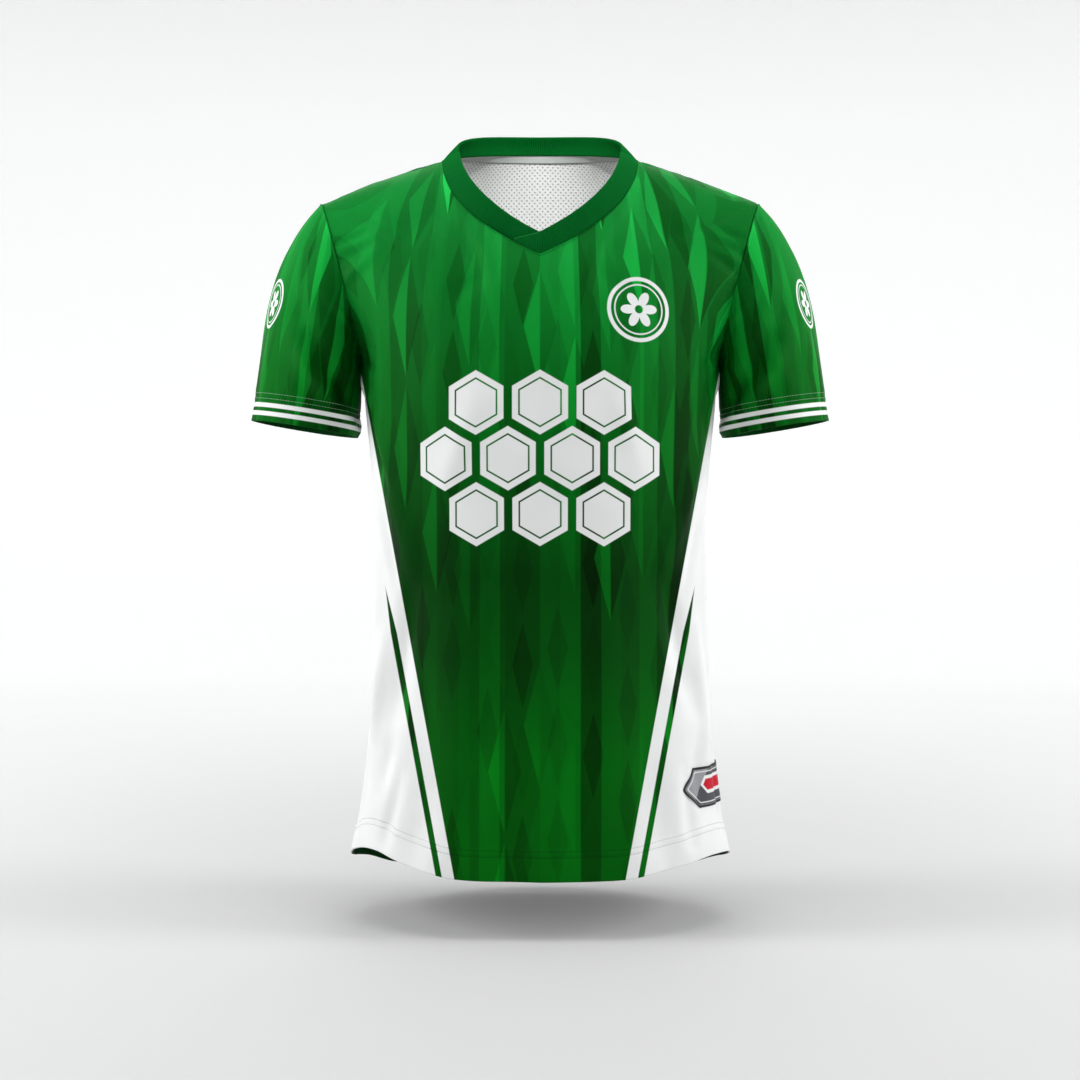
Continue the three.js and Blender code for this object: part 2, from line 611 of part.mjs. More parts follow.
const countUp = (from, to) => Array.from({ length: to - from + 1 }, (_, k) => from + k);
const lastColumn = panelColumns.length - 1;
const backColumn = (j) => lastColumn - j; // the back's column that meets a column of the front

for (const row of countUp(0, armpitRow - 1)) {
  for (const column of [0, lastColumn]) sew([front, row, column], [back, row, backColumn(column)]);
}
for (const fromSleeve of countUp(1, SHOULDER_COLUMNS)) {
  for (const j of [fromSleeve, lastColumn - fromSleeve]) sew([front, topRow, j], [back, topRow, backColumn(j)]);
}

// Sets a sleeve into its armhole. The three pieces meet at the armpit and at the shoulder point.
function setIn(sleevePiece, side) {
  const turns = turnsOf(side);
  const columnAt = (turn) => turns.findIndex((t) => Math.abs(t - turn) < 1e-9);
  const head = (turn) => [sleevePiece, sleevePiece.rows - 1, columnAt(turn)];
  const column = side < 0 ? 0 : lastColumn;
  sew(head(0), [front, armpitRow, column], [back, armpitRow, backColumn(column)]);
  sew(head(0.5), [front, topRow, column], [back, topRow, backColumn(column)]);
  yokeShares.slice(1, -1).forEach((share, k) => {
    const row = armpitRow + 1 + k;
    sew(head(share / 2), [front, row, column]);
    sew(head(1 - share / 2), [back, row, backColumn(column)]);
  });
}
setIn(sleeveRight, -1);
setIn(sleeveLeft, 1);

// Pieces that lie on a panel are made from its points, moved out

// A point over the flat faces of a panel at a place between its rows and columns.
function overPanel({ points, normals, rows, columns }, row, column, height) {
  const i = THREE.MathUtils.clamp(Math.floor(row), 0, rows - 2);
  const j = THREE.MathUtils.clamp(Math.floor(column), 0, columns - 2);
  const [up, across] = [row - i, column - j];
  const cell = (grid) => [grid[i][j], grid[i][j + 1], grid[i + 1][j + 1], grid[i + 1][j]];
  const rising = rises(...cell(points));
  const between = (grid) => {
    const [a, b, c, d] = cell(grid);
    const flat = (corner, p, byP, q, byQ) =>
      corner
        .clone()
        .multiplyScalar(1 - byP - byQ)
        .addScaledVector(p, byP)
        .addScaledVector(q, byQ);
    if (rising && across >= up) return flat(b, a, 1 - across, c, up);
    if (rising) return flat(d, c, across, a, 1 - up);
    if (across + up <= 1) return flat(a, b, across, d, up);
    return flat(c, d, 1 - across, b, 1 - up);
  };
  return between(points).addScaledVector(between(normals).normalize(), height);
}

// The place of a value in a rising list, in steps and parts of a step.
function placeIn(list, value) {
  let k = 0;
  while (k < list.length - 2 && list[k + 1] < value) k += 1;
  return k + (value - list[k]) / (list[k + 1] - list[k]);
}

// The tape hangs from the back neck seam on the inside, nearly from neck point to neck point.
function tapeWall() {
  const inside = countUp(centreColumn - NECK_COLUMNS + 1, centreColumn + NECK_COLUMNS - 1);
  const columns = [inside[0] - 0.6, ...inside, inside[inside.length - 1] + 0.6];
  const row = (column, drop) => {
    const rowHeight = overPanel(back, topRow, column, 0).distanceTo(overPanel(back, topRow - 1, column, 0));
    return topRow - (0.8 + drop) / rowHeight;
  };
  const place = (column, drop, depth) => overPanel(back, row(column, drop), column, -depth);
  const layer = (depth) => [TAPE_WIDTH, 0].map((drop) => columns.map((column) => place(column, drop, depth)));
  return closedGrid(layer(CLOTH + LAID_ON), layer(CLOTH + LAID_ON + TAPE_WALL), false);
}

// The label follows the cloth over the side seam, with its corners cut off.
function labelWall() {
  const layer = (height) =>
    [0, 0.25, 0.5, 0.75, 1].map((up) =>
      [0, ...steps(0, 1, 20)].map((along) => {
        const cut = LABEL_CORNER * Math.max(Math.abs(2 * up - 1) - 0.5, 0) * 2;
        const girth = THREE.MathUtils.lerp(LABEL_FROM + cut, LABEL_TO - cut, along);
        const z = LABEL_TOP_Z - LABEL_HEIGHT * (1 - up);
        const hem = hemHeight(girth);
        const row = placeIn(panelRows, (z - hem) / (ARMPIT_Z - hem));
        const onFront = girth <= SIDE_SEAM;
        const share = onFront ? girth / SIDE_SEAM : -(HALF_GIRTH - girth) / SIDE_SEAM;
        return overPanel(onFront ? front : back, row, placeIn(panelColumns, share), height);
      }),
    );
  return closedGrid(layer(LAID_ON + LABEL_WALL), layer(LAID_ON), false);
}

// Materials and meshes

const cloth = (color, roughness) => new THREE.MeshStandardMaterial({ color, roughness, metalness: 0 });
const printedGreen = cloth('#0b7a26', 0.62);
const ribGreen = cloth('#006120', 0.72);
const tapeGrey = cloth('#abb3ad', 0.8);
const labelGrey = cloth('#5c5a5a', 0.7);

const jersey = new THREE.Group();
function add(name, geometry, material) {
  const mesh = new THREE.Mesh(geometry, material);
  mesh.name = name;
  jersey.add(mesh);
}

const panelTrim = { sides: true, top: true, bottom: false };
const sleeveLayers = (row) => sleeveWall(SLEEVE_ROWS - row);
add('front', wallOf(front, bodyWall, panelTrim), printedGreen);
add('back', wallOf(back, bodyWall, panelTrim), printedGreen);
add('sleeve_right', wallOf(sleeveRight, sleeveLayers, { top: true }), printedGreen);
add('sleeve_left', wallOf(sleeveLeft, sleeveLayers, { top: true }), printedGreen);
add('collar', wallOf(collar, () => RIB, { bottom: true }), ribGreen);
add('neck_tape', tapeWall(), tapeGrey);
add('side_label', labelWall(), labelGrey);

export default jersey;
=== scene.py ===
# %% [markdown]
# # A football jersey, filled out as if somebody wore it
#
# The jersey is sewn from two body panels, two sleeves, a rib collar, a tape inside the back neck and a woven label.
# Each of them is made here as cloth with a real thickness, on the same curves that gave the plain solids their form.
# The cells below go the way a maker would: first the body as a shape, then the panels cut from it, then the sleeves,
# the collar, the small trimmings and the thread, then the dyes and yarns, and last the light and the camera.

# %% Load the frame
import math

import bmesh
import bpy
import numpy as np
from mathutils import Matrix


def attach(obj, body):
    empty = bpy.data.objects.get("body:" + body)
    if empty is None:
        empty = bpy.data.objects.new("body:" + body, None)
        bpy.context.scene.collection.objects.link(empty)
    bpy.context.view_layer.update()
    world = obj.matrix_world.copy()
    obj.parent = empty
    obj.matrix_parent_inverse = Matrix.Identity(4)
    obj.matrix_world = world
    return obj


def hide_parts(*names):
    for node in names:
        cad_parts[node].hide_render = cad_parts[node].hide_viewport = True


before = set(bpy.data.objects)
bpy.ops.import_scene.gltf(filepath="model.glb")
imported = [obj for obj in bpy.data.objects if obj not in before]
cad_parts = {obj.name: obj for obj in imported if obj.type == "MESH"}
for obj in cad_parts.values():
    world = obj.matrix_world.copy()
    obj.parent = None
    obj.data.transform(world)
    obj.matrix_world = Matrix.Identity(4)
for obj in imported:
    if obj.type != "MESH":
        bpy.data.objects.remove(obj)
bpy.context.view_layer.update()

# %% [markdown]
# ## Sizes
#
# A tailor works in millimetres, so all the lengths below are millimetres and only the finished meshes are turned
# into metres. The front faces -Y, the wearer's left is +X, and the origin is midway between the two neck points.

# %% Sizes of the cut
MM = 0.001
DETAIL = 1.0

KNIT = 0.9  # thickness of one layer of knit
TURNED_HEM = 1.8  # thickness where it is turned up
RIB = 2.5  # the rib, folded double
HEM_DEPTH = 28
CUFF_DEPTH = 27
ARMPIT_Z = -205
SIDE_SEAM = 240  # girth position of the side seam: 0 is the centre front, 480 the centre back
HALF_GIRTH = 480
NECK_SHARE = 0.443  # share of a panel's top edge that is neckline, the rest is shoulder seam
YOKE_HEIGHT = 200  # roughly, from armpit level to the top edge
EYE_DISTANCE, EYE_HEIGHT = 1700, -379  # where the camera stands, straight ahead of the side seams
print("hem", HEM_DEPTH, "mm, cuff hem", CUFF_DEPTH, "mm, knit", KNIT, "mm")

# %% Small helpers for points
def unit(v):
    """Directions of length one."""
    return v / np.linalg.norm(v, axis=-1, keepdims=True)


def dot(a, b):
    return (a * b).sum(-1, keepdims=True)


def smooth(t):
    """A soft step: 0 below 0, 1 above 1, and an even bend between."""
    t = np.clip(t, 0, 1)
    return t * t * (3 - 2 * t)


def mirrored(points, side):
    """The same points on the other side of the middle where side is -1."""
    return points * np.stack(np.broadcast_arrays(side, 1.0, 1.0), -1)


def table(names, *rows):
    """A short table as one array for each named column."""
    return dict(zip(names.split(), np.array(rows, float).T))


def read(rows, key, at, column):
    """One column of a table at a position between its rows, on a smooth curve through them."""
    k, v = rows[key], rows[column]
    before, after = np.r_[0, 0 : len(k) - 1], np.r_[1 : len(k), len(k) - 1]
    slope = (v[after] - v[before]) / (k[after] - k[before])
    i = np.clip(np.searchsorted(k, at) - 1, 0, len(k) - 2)
    step = k[i + 1] - k[i]
    t = np.clip((at - k[i]) / step, 0, 1)
    keep = 2 * t**3 - 3 * t**2 + 1
    bend = (t**3 - 2 * t**2 + t) * slope[i] + (t**3 - t**2) * slope[i + 1]
    return keep * v[i] + (1 - keep) * v[i + 1] + bend * step


def bezier(corners, t):
    """A cubic curve through the first and last of four corners."""
    a, b, c, d = (np.array(corner, float) for corner in corners)
    t = np.asarray(t, float)[..., None]
    return a * (1 - t) ** 3 + b * 3 * t * (1 - t) ** 2 + c * 3 * t * t * (1 - t) + d * t**3


def arc_between(a, b, leave, arrive, t, hold=1.0):
    """A curve that leaves a in one direction and reaches b in another, as round as such an arc."""
    turn = np.arccos(np.clip(dot(unit(leave), unit(arrive)), -1, 1))
    reach = np.linalg.norm(b - a, axis=-1, keepdims=True) / np.cos(turn / 4) ** 2
    t, hold = np.asarray(t)[..., None], np.asarray(hold)[..., None]
    keep = 2 * t**3 - 3 * t**2 + 1
    bend = leave * (t**3 - 2 * t**2 + t) + arrive * hold * (t**3 - t**2)
    return a * keep + b * (1 - keep) + bend * reach


# %% [markdown]
# ## The body as a shape
#
# A worn jersey is close to a stack of level rings: wide and soft-cornered, narrower at the waist, opening again at
# the hem. Each ring is a superellipse, which is an ellipse with squarer shoulders. Above the armpits the rings stop,
# and each panel runs on in one curve to its top edge: half a neckline, then a shoulder seam. One could sculpt this
# by hand, but a formula keeps both sides of every seam on exactly the same points.

# %% Level rings of the body, and the hem line
body_sections = table(
    "z side front back",
    (-730, 193, 124, 127),
    (-692, 188.7, 122, 125),
    (-652, 180.5, 119, 121),
    (-604, 174, 116, 114),
    (-552, 169, 113, 106),
    (-486, 164.4, 110, 100),
    (-420, 163.2, 110, 99),
    (-360, 164.6, 114, 104),
    (-300, 169, 120, 112),
    (-250, 173.4, 124, 118),
    (-205, 176.5, 124, 121),
    (-160, 179, 122, 122),
)
hem_line = table(
    "girth right left",
    (0, -697, -697),
    (77, -695.7, -696),
    (106, -690, -691.5),
    (131, -683.5, -687.3),
    (156, -676, -682.8),
    (177, -675.6, -681.5),
    (207, -682, -684),
    (240, -692.5, -692),
    (275, -699.5, -700),
    (300, -704.7, -707),
    (333, -716, -718),
    (400, -725, -725),
    (480, -726, -726),
)
SECTION_POWER = 2.35


def body_ring(girth, z):
    """A point of the level ring at z."""
    turn = girth / SIDE_SEAM * np.pi / 2
    side = read(body_sections, "z", z, "side")
    in_front = abs(girth) <= SIDE_SEAM
    deep = np.where(in_front, read(body_sections, "z", z, "front"), read(body_sections, "z", z, "back"))
    polar = np.arctan2(np.sqrt(side) * np.sin(turn), np.sqrt(deep) * np.cos(turn))
    across = abs(np.sin(polar) / side) ** SECTION_POWER
    ahead = abs(np.cos(polar) / deep) ** SECTION_POWER
    radius = (across + ahead) ** (-1 / SECTION_POWER)
    return np.stack(np.broadcast_arrays(radius * np.sin(polar), -radius * np.cos(polar), z), -1)


def hem_height(girth):
    right = read(hem_line, "girth", abs(girth), "right")
    left = read(hem_line, "girth", abs(girth), "left")
    return np.where(girth < 0, right, left)


chest = body_ring(np.linspace(-HALF_GIRTH, HALF_GIRTH, 961), ARMPIT_Z)
print("round the chest", round(np.linalg.norm(np.diff(chest, axis=0), axis=-1).sum()), "mm before the folds")
print("the hem's edge lies between", hem_line["right"].max(), "and", hem_line["right"].min(), "mm")

# %% Necklines, shoulder seams and how the cloth reaches them
NECK_POINT = np.array([97.3, 0, -0.6])
SHOULDER_POINT = np.array([219, 4, -44.0])
SHOULDER_BOW = 3
FRONT_NECK = (0, -99, -108.3)
BACK_NECK = (0, 66, 21)
NECKLINE_SPREAD = 1.25
ARMHOLE_SWEEP = 0.11
ARMHOLE_LEAN = 66
CORNER_REACH = 0.27
necklines = {
    "front": (FRONT_NECK, (80.4, -85, -72.5), (93, -72.2, -34.5), NECK_POINT),
    "back": (BACK_NECK, (48, 66, 21), (99, 29, 12), NECK_POINT),
}
top_facings = {
    "front": table(
        "share out ahead up hold",
        (0, 0, 0.906, 0.42, 1),
        (NECK_SHARE, 0.26, 0.41, 0.875, 1),
        (1, 0.34, 0, 0.94, 0.82),
    ),
    "back": table(
        "share out ahead up hold",
        (0, 0, 0.88, 0.47, 0.8),
        (NECK_SHARE, 0.26, -0.41, 0.875, 0.5),
        (0.7, 0.32, -0.15, 0.91, 0.6),
        (1, 0.34, 0, 0.94, 0.82),
    ),
}


def side_of(u):
    return np.where(np.asarray(u) < 0, -1.0, 1.0)


def girth_at(panel, u):
    """The girth position of a place across a panel, where u is -1 and 1 at its side seams."""
    return u * SIDE_SEAM if panel == "front" else side_of(u) * HALF_GIRTH - u * SIDE_SEAM


def top_edge(panel, u):
    share = abs(u)
    t = np.clip(share / NECK_SHARE, 0, 1) ** (NECKLINE_SPREAD if panel == "front" else 1)
    neck = bezier(necklines[panel], t)
    s = ((share - NECK_SHARE) / (1 - NECK_SHARE))[..., None]
    shoulder = NECK_POINT * (1 - s) + SHOULDER_POINT * s + np.array([0, 0, SHOULDER_BOW]) * np.sin(np.pi * s)
    return mirrored(np.where(share[..., None] <= NECK_SHARE, neck, shoulder), side_of(u))


def rounded_top_edge(panel, u):
    """The top edge with its corner at the neck point rounded off, so that no crease runs down from it."""
    t = (abs(u) - NECK_SHARE + CORNER_REACH) / (2 * CORNER_REACH)
    a, b, c = (top_edge(panel, np.array(NECK_SHARE + k * CORNER_REACH)) for k in (-1, 0, 1))
    s = np.clip(t, 0, 1)[..., None]
    rounded = mirrored(a * (1 - s) ** 2 + b * 2 * s * (1 - s) + c * s * s, side_of(u))
    return np.where(((t > 0) & (t < 1))[..., None], rounded, top_edge(panel, u))


def top_direction(panel, u):
    """The direction in which the cloth reaches its top edge, going over the shoulder."""
    share = abs(u)
    backward = 1 if panel == "front" else -1
    inside = np.minimum(share, 0.999)
    along = unit(top_edge(panel, inside + 0.001) - top_edge(panel, inside))
    facing = [read(top_facings[panel], "share", share, column) for column in ("out", "ahead", "up")]
    facing = np.stack([facing[0], -backward * facing[1], facing[2]], -1)
    facing = unit(facing - along * dot(facing, along))
    rise = unit(top_edge(panel, share) - body_ring(girth_at(panel, share), ARMPIT_Z + 0 * share))
    rise = rise * (1 - share[..., None]) + np.array([ARMHOLE_SWEEP, backward, 0]) * share[..., None]
    return mirrored(unit(rise - facing * dot(rise, facing)), side_of(u))


def yoke_direction(panel, u):
    """The direction in which it leaves armpit level: upward, and round the armhole near the side seam."""
    girth, level_z = girth_at(panel, u), ARMPIT_Z + 0 * u
    up = unit(body_ring(girth, level_z + 1) - body_ring(girth, level_z - 1))
    inward = -side_of(u) if panel == "front" else side_of(u)
    level = unit(body_ring(girth + inward, level_z) - body_ring(girth, level_z))
    lean = math.radians(ARMHOLE_LEAN) * np.clip((abs(u) - 0.3) / 0.7, 0, None) ** 1.2
    return up * np.cos(lean)[..., None] + level * np.sin(lean)[..., None]


def smooth_body(panel, u, v):
    """The body before its folds. v is 0 at the hem, 1 at armpit level and 2 at the top edge."""
    u, v = np.broadcast_arrays(np.asarray(u, float), np.asarray(v, float))
    girth = girth_at(panel, u)
    hem = hem_height(girth)
    low = body_ring(girth, hem + (ARMPIT_Z - hem) * np.minimum(v, 1))
    start, rounded = body_ring(girth, ARMPIT_Z + 0 * u), rounded_top_edge(panel, u)
    hold = read(top_facings[panel], "share", abs(u), "hold")
    leave, arrive = yoke_direction(panel, u), top_direction(panel, u)
    high = arc_between(start, rounded, leave, arrive, np.clip(v - 1, 0, None), hold)
    high = high + (top_edge(panel, u) - rounded) * smooth((v - 1.55) / 0.45)[..., None]
    return np.where((v <= 1)[..., None], low, high)


def normal_of(surface, a, b, step=0.004):
    """The direction square to a surface, from four points close by."""
    along_a = surface(a + step, b) - surface(a - step, b)
    along_b = surface(a, b + step) - surface(a, np.maximum(b - step, 0))
    return unit(np.cross(along_a, along_b))


middle = smooth_body("front", np.zeros(3), np.array([0.0, 1.0, 2.0]))
print("centre front at hem, armpit and neckline:", np.round(middle[:, 2]), "mm high")

# %% [markdown]
# ## Folds
#
# Cloth that hangs free falls in long soft troughs with raised shoulders. A cloth simulation would find some of them
# by itself, but never the ones the photograph shows, so they are laid one by one: each is a line on the body with a
# width and a depth, deepest at its middle and fading toward both ends. Ridges have a negative depth. The first table
# holds the largest ones, which the solids have too. The second adds the small ones round armholes, waist and hem.

# %% The folds as tables
large_folds = table(
    "girth z to_girth to_z width depth",
    (-170, -268, -134, -410, 17, -4.5),
    (-139, -425, -156, -548, 17, 6),
    (-156, -572, -166, -618, 13, 4),
    (-205, -380, -182, -560, 17, -4),
    (176, -285, 134, -395, 17, -4.5),
    (138, -428, 164, -535, 16, 6),
    (168, -575, 162, -625, 13, 4),
    (206, -400, 196, -560, 17, -4),
    (-12, -330, -28, -560, 42, 4.5),
    (72, -420, 60, -640, 34, -3.5),
    (-84, -470, -78, -660, 32, -3),
    (110, -600, 120, -705, 20, 3),
    (-112, -620, -120, -705, 20, 3),
    (-40, -640, -30, -705, 24, 2.5),
    (-205, -62, -150, -92, 9, 2.4),
    (212, -62, 160, -86, 9, 2.4),
    (-165, -92, -92, -60, 24, 3.5),
    (170, -96, 98, -66, 24, 3.5),
    (300, -250, 345, -430, 20, 5),
    (-296, -240, -350, -440, 20, 5),
    (395, -330, 372, -560, 26, -4.5),
    (-388, -310, -380, -540, 26, -4.5),
    (470, -380, 478, -620, 30, 5),
    (288, -430, 296, -600, 18, 5),
    (-286, -450, -300, -610, 18, 5),
    (330, -600, 322, -715, 22, 4),
    (-345, -590, -335, -715, 22, 4),
)
small_folds = table(
    "girth z to_girth to_z width depth",
    (-236, -92, -196, -84, 5, 1.5),
    (-236, -108, -190, -96, 6, 1.7),
    (-235, -128, -198, -112, 6, -1.2),
    (236, -88, 200, -80, 5, 1.3),
    (236, -102, 192, -90, 6, 1.7),
    (236, -120, 196, -106, 6, 1.6),
    (-222, -190, -176, -214, 7, 1.7),
    (-228, -214, -182, -246, 8, -1.6),
    (224, -186, 172, -212, 7, 1.8),
    (230, -210, 180, -250, 8, -1.6),
    (-200, -250, -160, -330, 9, 2.2),
    (204, -262, 168, -345, 9, 2.2),
    (-186, -345, -158, -420, 8, 1.8),
    (188, -350, 160, -430, 8, 1.8),
    (-222, -440, -206, -540, 9, 2.4),
    (224, -430, 212, -545, 9, 2.2),
    (-176, -470, -188, -600, 9, -1.8),
    (180, -460, 186, -590, 9, -1.8),
    (-140, -600, -150, -668, 8, 1.7),
    (148, -596, 146, -668, 8, 1.7),
    (-200, -590, -208, -664, 9, 1.9),
    (200, -600, 204, -664, 8, 1.5),
    (-62, -250, -96, -330, 15, -1.3),
    (70, -240, 104, -322, 15, -1.3),
    (-58, -540, -66, -664, 12, 1.2),
    (42, -560, 38, -668, 13, 1.2),
    (8, -600, 4, -690, 15, -1.1),
    (-46, -128, -84, -150, 12, 1.0),
    (48, -126, 92, -152, 12, 1.0),
    (262, -300, 280, -420, 11, 2.2),
    (-262, -290, -284, -430, 11, 2.2),
    (420, -240, 404, -350, 16, 2.0),
    (-424, -230, -410, -340, 16, 2.0),
    (350, -440, 352, -560, 14, 2.2),
    (-342, -460, -348, -570, 14, 2.2),
    (440, -560, 436, -700, 16, 2.0),
    (-430, -580, -440, -700, 16, 2.0),
    (380, -620, 384, -715, 13, -1.8),
    (-392, -630, -388, -715, 13, -1.8),
    (262, -620, 270, -690, 9, 1.6),
    (-266, -610, -262, -690, 9, 1.6),
)


def fold_depth(folds, x, y, stretch=1.0):
    """How far a table of folds pushes the cloth inward at a place on it."""
    depth = np.zeros(np.broadcast(x, y).shape)
    for x0, y0, x1, y1, width, deep in zip(*folds.values()):
        run_x, run_y = x1 - x0, (y1 - y0) * stretch
        off_x, off_y = x - x0, (y - y0) * stretch
        along = np.clip((off_x * run_x + off_y * run_y) / (run_x**2 + run_y**2), 0, 1)
        away = ((off_x - along * run_x) ** 2 + (off_y - along * run_y) ** 2) / width**2
        depth += deep * (1 - 0.5 * away) * np.exp(-away) * (0.45 + 0.55 * np.sin(np.pi * along))
    return depth


def body_folds(folds, girth, z):
    """Folds that cross the centre back are met again from the other side."""
    other = np.where(girth > 0, girth - 2 * HALF_GIRTH, girth + 2 * HALF_GIRTH)
    across = np.where(abs(girth) > HALF_GIRTH - 120, fold_depth(folds, other, z), 0)
    return fold_depth(folds, girth, z) + across


def unevenness(x, y, seed):
    """A slight, broad unevenness of hanging cloth, in millimetres: eight long waves that no ruler laid."""
    rng = np.random.default_rng(seed)
    total = 0
    for _ in range(8):
        angle, length = rng.uniform(-0.9, 0.9), rng.uniform(45, 120)
        phase, height = rng.uniform(0, 6.28), rng.uniform(0.08, 0.22)
        along = x * np.cos(angle) + y * np.sin(angle) * 0.5
        total = total + height * np.sin(2 * np.pi * along / length + phase)
    return total


print(len(large_folds["z"]), "large folds and", len(small_folds["z"]), "small ones on the body")

# %% [markdown]
# ## Seams and hems in the cloth
#
# A seam pulls the cloth in: there is a fine valley along it, and the knit beside it puckers a little. A turned hem
# is the opposite. It is two layers thick, so it stands proud, and each row of stitches presses a fine groove in it.
# Both are real relief here, because a bump map alone would leave the edges of the jersey perfectly straight.

# %% Relief along seams and hems
def seam_relief(away, along):
    """Outward relief beside a seam: the valley of the seam, then puckers that fade within a centimetre."""
    pucker = 0.32 * np.sin(along / 5.1) + 0.2 * np.sin(along / 2.9 + 1.3)
    return -0.75 * np.exp(-((away / 1.5) ** 2)) + pucker * np.exp(-away / 8) * (1 - np.exp(-away / 1.5))


HEM_STITCHES = (28.0, 22.4)  # height of the two rows of stitches above the hem edge
CUFF_STITCHES = (27.2, 22.2)
LARGE_FOLD_STRENGTH, SMALL_FOLD_STRENGTH = 1.4, 2.2  # soft light hides folds, so they are laid deeper


def hem_relief(from_edge, along, stitch_rows):
    """Outward relief of a turned hem: proud, grooved at its stitches, and a little wavy at its edge."""
    proud = 0.55 * (1 - smooth((from_edge - stitch_rows[0] - 0.6) / 1.8))
    groove = sum(0.38 * np.exp(-(((from_edge - row) / 1.0) ** 2)) for row in stitch_rows)
    puckers = 0.16 * np.sin(along / 2.3) * np.exp(-(((from_edge - stitch_rows[0] - 1) / 5) ** 2))
    wavy = 0.5 * np.sin(along / 16.5 + 0.8) + 0.35 * np.sin(along / 9.7)
    return proud - groove + puckers + wavy * np.exp(-from_edge / 12)


def cloth_of_body(panel, u, v):
    """The outer face of a finished body panel."""
    u, v = np.broadcast_arrays(np.asarray(u, float), np.asarray(v, float))
    girth, p = girth_at(panel, u), smooth_body(panel, u, v)
    outward = normal_of(lambda a, b: smooth_body(panel, a, b), u, np.minimum(v, 1.996))
    outward = outward if panel == "front" else -outward
    z = p[..., 2]
    from_side = (1 - abs(u)) * SIDE_SEAM
    from_top = (2 - v) * YOKE_HEIGHT
    near_armhole = np.where(v > 1, from_side / 14, 9)
    blend = np.where(v > 1, smooth((v - 1) / 0.12), 0)
    fade = (1 - blend * (1 - smooth(near_armhole))) * smooth((2 - v) / 0.14)
    push = -LARGE_FOLD_STRENGTH * body_folds(large_folds, girth, z) * fade
    off_seams = smooth(from_side / 5) * smooth(from_top / 8)
    push += (unevenness(girth, z, 4) - SMALL_FOLD_STRENGTH * body_folds(small_folds, girth, z)) * off_seams
    push += seam_relief(from_side, z) * smooth(from_top / 4) + seam_relief(from_top, girth)
    from_hem = np.minimum(v, 1) * (ARMPIT_Z - hem_height(girth))
    push += np.where(from_hem < 60, hem_relief(from_hem, girth, HEM_STITCHES) * smooth(from_side / 3), 0)
    return p + outward * push[..., None]


sample = cloth_of_body("front", np.array([0.0]), np.array([0.5]))
print("a point of the finished front:", np.round(sample[0], 1))

# %% [markdown]
# ## From points to cloth
#
# A panel is a grid of points with a face between each four. Blender's Solidify modifier then gives it thickness
# toward the inside, closes its edges, and lets the inside have its own material, as a printed knit does. A vertex
# group makes it thicker where the hem is turned up. Each grid also carries numbers for the print: how far across
# the cut a point lies, how high, and how far from an edge. They are what a flat paper pattern would give.

# %% Grid of points to cloth
def spaced(*stops):
    places = [stops[0]]
    for stop, count in stops[1:]:
        count = max(2, round(count * DETAIL))
        places += list(np.linspace(places[-1], stop, count + 1)[1:])
    return np.array(places)


def grid_faces(rows, columns):
    corner = (np.arange(rows - 1)[:, None] * columns + np.arange(columns - 1)).ravel()
    return np.stack([corner, corner + 1, corner + columns + 1, corner + columns], -1)


def area_of(points):
    """Area of a grid of points, in square metres."""
    across = points[:-1, 1:] - points[:-1, :-1]
    up = points[1:, :-1] - points[:-1, :-1]
    return float(np.linalg.norm(np.cross(across, up), axis=-1).sum()) * MM * MM


def new_piece(name, vertices, faces, body="root"):
    mesh = bpy.data.meshes.new(name)
    mesh.from_pydata((np.reshape(vertices, (-1, 3)) * MM).tolist(), [], [list(map(int, f)) for f in faces])
    mesh.shade_smooth()
    piece = bpy.data.objects.new(name, mesh)
    bpy.context.scene.collection.objects.link(piece)
    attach(piece, body)
    return piece


def carry(piece, **numbers):
    """Numbers for the print, one for each point of a grid."""
    for name, values in numbers.items():
        field = piece.data.attributes.new(name, "FLOAT", "POINT")
        field.data.foreach_set("value", np.ascontiguousarray(values, dtype=np.float32).ravel())


def cloth_piece(name, points, thick_where=None, **numbers):
    """A grid of points as cloth with its thickness inward."""
    piece = new_piece(name, points, grid_faces(*points.shape[:2]))
    carry(piece, **numbers)
    thickness = piece.modifiers.new("thickness of the knit", "SOLIDIFY")
    thickness.thickness = KNIT * MM
    thickness.offset = -1
    thickness.material_offset = 1
    if thick_where is not None:
        group = piece.vertex_groups.new(name="turned_up")
        group.add(np.flatnonzero(thick_where.ravel()).tolist(), 1.0, "REPLACE")
        thickness.vertex_group = group.name
        thickness.thickness = TURNED_HEM * MM
        thickness.thickness_vertex_group = KNIT / TURNED_HEM
    print(f"{name}: {len(piece.data.polygons)} faces, {area_of(points):.3f} square metres")
    return piece


# %% [markdown]
# ## Front and back panels
#
# The rows lie closer at the hem and near the top edge, and the columns closer at the seams, where the relief is
# finest. The print follows the flat cut: below the armpits a point's place across the cut is its distance from the
# centre along the ring, and above them it is carried up the cloth column by column without turning, just as the
# threads of the knit run.

# %% Rows and columns of the panels
half = spaced(0, (NECK_SHARE, 32), (1 - 5 / 240, 36), (1, 6))
panel_columns = np.r_[-half[:0:-1], half]
centre = len(half) - 1
panel_rows = spaced(0, (0.07, 26), (1, 168), (1.96, 74), (2, 7))
armpit_row = int(np.argmin(abs(panel_rows - 1)))
print(len(panel_rows), "rows by", len(panel_columns), "columns")


